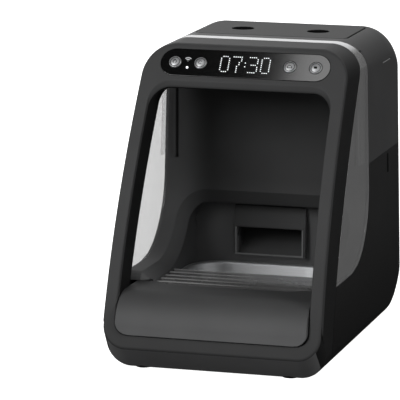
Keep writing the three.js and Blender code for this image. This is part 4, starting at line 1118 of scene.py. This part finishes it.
def quarter_drop(y, radius):
    """How far an edge rounded to a radius has fallen at depth y."""
    reach = max(y - (REAR - radius), 0)
    return radius - math.sqrt(max(radius**2 - reach**2, 0))


def on_case(x, y, z):
    """Draws a point of the outline in to the case's rounded rear edges and corners.

    The side corners get wider towards the rear.
    """
    top = CASE_HEIGHT - quarter_drop(y, REAR_TOP)
    foot = UNDERSIDE + quarter_drop(y, REAR_FOOT)
    z = max(min(z, top), foot)
    half = case_half(z) - quarter_drop(y, REAR_PLAN)
    x = max(min(x, half), -half)
    for edge, sense, corner, wider, start in (
        (top, 1, TOP_CORNER, TOP_WIDENING, REAR - REAR_TOP),
        (foot, -1, FOOT_CORNER, FOOT_WIDENING, REAR - REAR_FOOT),
    ):
        if y <= start:
            continue
        radius = corner + wider * (y - start) / (REAR - start)
        away = abs(x) - (half - radius)
        up = sense * (z - edge) + radius
        reach = math.hypot(away, up)
        if away > 0 and up > 0 and reach > radius:
            x = math.copysign(half - radius + away * radius / reach, x)
            z = edge - sense * radius + sense * up * radius / reach
    return (x, y, z)


REAR_STOPS = sorted(
    {REAR - REAR_FOOT + REAR_FOOT * math.sin(math.radians(a)) for a in range(0, 91, 5)}
    | {REAR - REAR_PLAN + REAR_PLAN * math.sin(math.radians(a)) for a in range(0, 91, 10)}
)


def close_rear(work):
    """One face over the open edges at the case's rear."""
    ends = {
        v
        for e in work.edges
        if e.is_boundary and all(abs(v.co.y - REAR * MM) < 1e-6 for v in e.verts)
        for v in e.verts
    }
    ordered = [v for v in work.verts if v in ends]
    work.faces.new(sorted(ordered, key=lambda v: math.atan2(v.co.z - SEAM * MM, v.co.x)))


INSIDE = Vector((0, 0.06, 0.17))  # a point inside every shell, in metres


def shell(name, outline, front, rear=None, thickness=2.5, front_steps=14):
    """front and rear give the depths for a point (x, z): no rear is the case's whole depth."""
    rings = []
    for x, z in outline:
        start = front(x, z)
        if rear:
            depths = [lerp(start, rear(x, z), i / front_steps) for i in range(front_steps + 1)]
        else:
            depths = [lerp(start, REAR - REAR_FOOT, i / front_steps) for i in range(front_steps)]
            depths += REAR_STOPS
        rings.append([on_case(x, y, z) for y in depths])
    made = loft(name, rings)
    if rear is None:
        edit(made.data, close_rear)
    outward = sum((p.center - INSIDE).dot(p.normal) * p.area for p in made.data.polygons)
    if outward < 0:
        made.data.flip_normals()
    solid = made.modifiers.new("thickness", "SOLIDIFY")
    solid.thickness = thickness * MM
    solid.offset = -1
    return bake(made)


def sweep_y(z, offset=0.0):
    radius = SWEEP + offset
    drop = min(max(SWEEP_Z - z, 0), radius)
    return SWEEP_Y + math.sqrt(radius**2 - drop**2)


BAND_ADVANCE = 9


def band_rear(x, z):
    """The band's rear edge comes forward over the top corners."""
    up = min(max((z - CASE_HEIGHT) / TOP_CORNER + 1, 0), 1)
    return sweep_y(z) - BAND_ADVANCE * up**2


def window_front(x, z):
    return seam_y(z) + 2 * GAP


def tub_front(x, z):
    return sweep_y(z, GAP) if z > SILL - GAP else window_front(x, z)


band_outline = half_outline(SILL, CASE_HEIGHT, TOP_CORNER, 40)
band = shell("clear_band", band_outline, window_front, band_rear, 3.0, 18)
soften(band, 0.5, 3, 40)
piece(band, band_clear, "base", "clear_band", "window_band")

upper_outline = half_outline(SEAM + GAP, CASE_HEIGHT, TOP_CORNER, 40)
upper = shell("upper_shell", upper_outline, lambda x, z: band_rear(x, z) + GAP)
HOLE = rounded_rectangle(-84.6, 84.6, 38.3, 140.7, 12.6, 14)
SLITS = [side_block("slit", side, 109.2, 120, 100, 138, 287.5, 289.1) for side, _ in HANDS]
carve(upper, [prism("hole", HOLE, upright, 300, 330)] + SLITS)
soften(upper, 0.45, 2, 40)
piece(upper, shell_plastic, "hopper", "dark_shell", "upper_housing")

# The tank inside it, kept clear of the shell's rounded corners: the case's own form
# drawn in, each axis by a factor about a middle
TANK_LIMIT = ((0.969, 0), (0.955, 110), (0.951, 250))
limit_rings = []
for y in [0.0, 60.0, *REAR_STOPS]:
    ring = [on_case(x, y, z) for x, z in case_outline(0)]
    limit_rings.append(
        [[(p - middle) * k + middle for p, (k, middle) in zip(at, TANK_LIMIT)] for at in ring]
    )
limit = loft("limit", limit_rings, close_columns=True)
edit(limit.data, fill_ends)
tank = new_object("tank_body", nodes["hopper_tank"].data.copy())
carve(tank, [limit], "INTERSECT")
soften(tank, bevel=False, angle=32)
piece(tank, tank_smoked, "hopper", "smoked_plastic", "hopper_tank")

STEP_MARKS = (SWEEP_Z, SILL - GAP - 0.01, SILL - GAP + 0.01)
tub_outline = half_outline(SEAM, UNDERSIDE, FOOT_CORNER, 30, STEP_MARKS)
tub = shell("tub_shell", tub_outline, tub_front)
BACK = rounded_rectangle(-70, 70, 77, 150, 8, 8)
UNDER = rounded_rectangle(-80, 80, -118, 114, 10, 8)
SLOTS = [side_block("slot", side, 104, 122, 113.2, 120.6, 165.5, 186.9) for side, _ in HANDS]
HOLES = [prism("hole", BACK, to_rear, 174, 192), prism("hole", UNDER, upright, -6, 11)]
carve(tub, HOLES + SLOTS)
soften(tub, 0.45, 2, 40)
piece(tub, tub_plastic, "base", "black_shell", "lower_housing")

# A pale strip in each side groove: a painted highlight on the groove's lit lip
for side, hand in HANDS:
    strip = side_block(f"groove_highlight_line_{hand}", side, 109.4, 110.4, 101, 137, 287.4, 288.3)
    soften(strip, 0.15, 2)
    piece(strip, groove_highlight_pale, "hopper", "dark_shell")

# Lid with two finger recesses

LID = rounded_rectangle(-83.1, 83.1, 40.1, 139.2, 11.2, 14)
LID_UNDER = 317.6
lid = prism("lid_cover", LID, upright, LID_UNDER, CASE_HEIGHT)
RECESS_X, RECESS_Y, RECESS_R = 42, 87, 12
DISCS = [disc_outline(side * RECESS_X, RECESS_Y, RECESS_R, 48) for side in (1, -1)]
POCKET = (upright, CASE_HEIGHT - 10, CASE_HEIGHT + 5)
carve(lid, [prism("pocket", disc, *POCKET) for disc in DISCS])
soften(lid, 0.7, 3)
piece(lid, lid_plastic, "lid_body", "grey_shell")


# The finger recesses' walls and the cups under them are painted black: painted shade in the
# recesses
def lid_region(centre, normal):
    reach = math.hypot(abs(centre.x) - RECESS_X, centre.y - RECESS_Y)
    return int(reach < RECESS_R + 0.3 and centre.z < CASE_HEIGHT - 0.4)


dress_by_place(lid, [lid_plastic, shade_and_print_black], lid_region)
CUP = [(0.0, -9.0), (9.5, -9.0), (11.2, -8.2), (11.9, -6.5), (12.1, -0.9)]
for side, hand in HANDS:
    profile = [(r, CASE_HEIGHT + z) for r, z in CUP]
    cup = lathe(f"lid_cup_{hand}", profile, side * RECESS_X, RECESS_Y)
    soften(cup, bevel=False, angle=60)
    piece(cup, shade_and_print_black, "lid_body", "grey_shell")
SKIRT = rounded_rectangle(-75.7, 75.7, 47.3, 131.7, 9.7, 10)
SKIRT_INSIDE = rounded_rectangle(-73.7, 73.7, 49.3, 129.7, 7.7, 10)
skirt = prism("lid_skirt", SKIRT, upright, 308, 317.5)
carve(skirt, [prism("hole", SKIRT_INSIDE, upright, 300, 330)])
soften(skirt, 0.4, 2)
piece(skirt, lid_plastic, "lid_body", "grey_shell", "lid")

# Bowl

TRAY = (84.6, -115.6, 52.2, 45)  # half width, front, rear, corner


def tray_outline(inset, steps=20):
    half, front, rear, corner = TRAY
    return rounded_rectangle(
        inset - half, half - inset, front + inset, rear - inset, corner - inset, steps
    )


BOWL_INSIDE_FLOOR = 45
BOWL = [  # (inset, height) from under the rim, over it and down to the floor
    (6.2, 69.6), (3.0, 69.8), (1.4, 69.9), (0.75, 70.3), (0.65, 70.8), (1.0, 71.15), (2.2, 71.2),
    (4.6, 71.1), (6.0, 70.7), (6.9, 69.9), (7.6, 68.4), (9.5, 60), (11.8, 51.5), (14.2, 47.0),
    (17.5, 44.3), (22, 43.1), (30, 42.8), (40, 42.7),
]
bowl_rings = [[(x, y, z) for x, y in tray_outline(inset)] for inset, z in BOWL]
bowl = loft("bowl_steel", bowl_rings, close_columns=True)


def is_floor(edge):
    return edge.verts[0].co.z < BOWL_INSIDE_FLOOR * MM


edit(bowl.data, lambda work: fill_ends(work, is_floor), turn_out=False)
soften(bowl, bevel=False, angle=60)
piece(bowl, steel, "drawer", "steel", "bowl")

# Shutter: a ribbed smoked leaf

LEAF_HALF = 87.4
LEAF_FRONT, LEAF_UNDER, LEAF_TOP, RIB_HEIGHT = -150, 73.3, 75.0, 1.05
LEAF_STEPS = 160
profile = []
for i in range(LEAF_STEPS + 1):
    y = lerp(LEAF_FRONT, RIB_REAR, i / LEAF_STEPS)
    wave = 0.5 + 0.5 * math.cos(2 * math.pi * (y - RIB_REAR) / RIB_PITCH)
    profile.append((y, LEAF_TOP + RIB_HEIGHT * wave**0.6))
under = [(RIB_REAR, LEAF_UNDER), (LEAF_FRONT, LEAF_UNDER)]
leaf = prism("shutter_cover", profile + under, to_right, -LEAF_HALF, LEAF_HALF)
soften(leaf, bevel=False, angle=50)
piece(leaf, ribbed_highlit, "shutter", "smoked_plastic", "shutter_leaf")

# CAD pieces that keep their solids

# Each look with its edge width in millimetres and the nodes that take it
CARRIED = (
    (tub_plastic, 0.4, "rear_cover base_plate"),
    # The side latches take the black: painted shade in their slots
    (shade_and_print_black, 0.3, "side_latch_right side_latch_left"),
    (guide_clear, 0, "side_guide_right side_guide_left"),
    (chute_plastic, 0.3, "food_chute"),
    (inner_plastic, 0.3, "dispenser_housing bowl_tray"),
    (smoked, 0.2, "shutter_tail"),
    (pale_plastic, 0, "shutter_rack shutter_pinion portion_wheel"),
    (pale_plastic, 0.3, "tray_rail_right tray_rail_left"),
    (pale_plastic, 0.8, "desiccant_box"),
    (seal_rubber, 0.3, "lid_seal"),
    (steel, 0, "wheel_shaft"),
    (motor_metal, 0.4, "feed_motor"),
    (motor_metal, 0.3, "shutter_motor"),
    (gloss_black, 0.2, "dc_jack"),
    (gloss_black, 0, "display_module outlet_sensor"),
    (light_white, 0, "status_light"),
    (board_green, 0, "control_board main_board"),
    (copper, 0, "reader_antenna"),
    (rubber_black, 0.5, "foot_front_right foot_front_left foot_rear_right foot_rear_left"),
    (motor_metal, 0, "base_screw_1 base_screw_2 base_screw_3 base_screw_4"),
)
for look, edge, names in CARRIED:
    for name in names.split():
        soften(dress(nodes[name], look), edge, 2, bevel=edge > 0)

# Floor, light and world



def either(tree, share, first, second):
    node = tree.nodes.new("ShaderNodeMixShader")
    for place, source in enumerate((share, first, second)):
        tree.links.new(source, node.inputs[place])
    return node.outputs["Shader"]


def by_ray(tree, kind, other, wanted):
    """One shader for rays of a kind, another for all others."""
    rays = tree.nodes.new("ShaderNodeLightPath")
    return either(tree, rays.outputs[f"Is {kind} Ray"], other, wanted)


REACH = 6000
corners = [(-REACH, -REACH, 0), (REACH, -REACH, 0), (REACH, REACH, 0), (-REACH, REACH, 0)]
floor = from_faces("floor", corners, [(0, 1, 2, 3)])
floor_look, tree, shader = material("floor_look")
pale = ramp(tree, noise(tree, 3), grey(0.9), grey(0.94))
tree.links.new(pale, shader.inputs["Base Color"])
preset(shader, {"Roughness": 0.9, "Specular IOR Level": 0.1})
glow = tree.nodes.new("ShaderNodeEmission")
dim = tree.nodes.new("ShaderNodeBsdfDiffuse")
dim.inputs["Color"].default_value = (*grey(0.1), 1)
seen = tree.nodes.new("ShaderNodeAddShader")
tree.links.new(shader.outputs["BSDF"], seen.inputs[0])
tree.links.new(glow.outputs["Emission"], seen.inputs[1])
floor_light = by_ray(tree, "Camera", dim.outputs["BSDF"], seen.outputs["Shader"])
tree.links.new(floor_light, tree.nodes["Material Output"].inputs["Surface"])
dress(floor, floor_look)

world = bpy.data.worlds.new("studio")
bpy.context.scene.world = world
world.use_nodes = True
tree = world.node_tree
tree.nodes.remove(tree.nodes["Background"])


def sky(value):
    node = tree.nodes.new("ShaderNodeBackground")
    node.inputs["Color"].default_value = (*grey(value), 1)
    return node.outputs["Background"]


# Glossy rays see white only behind the object and towards its left
behind = spread(tree, position(tree, "Y", "Generated"), start=0.55, end=0.85)
aside = spread(tree, position(tree, "X", "Generated"), 1.0, 0.0, 0.05, 0.35)
glossy = either(tree, calculate(tree, "MULTIPLY", behind, aside), sky(0.03), sky(1.0))
lit = by_ray(tree, "Glossy", sky(0.3), glossy)
lit = by_ray(tree, "Transmission", lit, sky(1.0))
lit = by_ray(tree, "Camera", lit, sky(1.0))
tree.links.new(lit, tree.nodes["World Output"].inputs["Surface"])


def lamp(name, place, aim, power, width, height):
    data = bpy.data.lights.new(name, "AREA")
    data.shape = "RECTANGLE"
    data.size = width
    data.size_y = height
    data.energy = power
    made = new_object(name, data)
    made.location = place
    direction = Vector(aim) - Vector(place)
    made.rotation_mode = "QUATERNION"
    made.rotation_quaternion = direction.to_track_quat("-Z", "Y")
    made.visible_camera = False


lamp("key", (-1.5, -2.4, 1.5), (0, -0.05, 0.15), 40, 1.4, 1.4)
lamp("strip", (-0.19, -0.98, 1.9), (0, -0.05, 0.3), 3.0, 0.5, 0.6)
lamp("back", (-2.0, 2.4, 1.2), (0, 0, 0.15), 30, 1.4, 1.4)
lamp("fill", (2.6, -1.0, 1.6), (0, 0, 0.2), 30, 1.2, 1.2)

bpy.context.scene.view_settings.view_transform = "Standard"
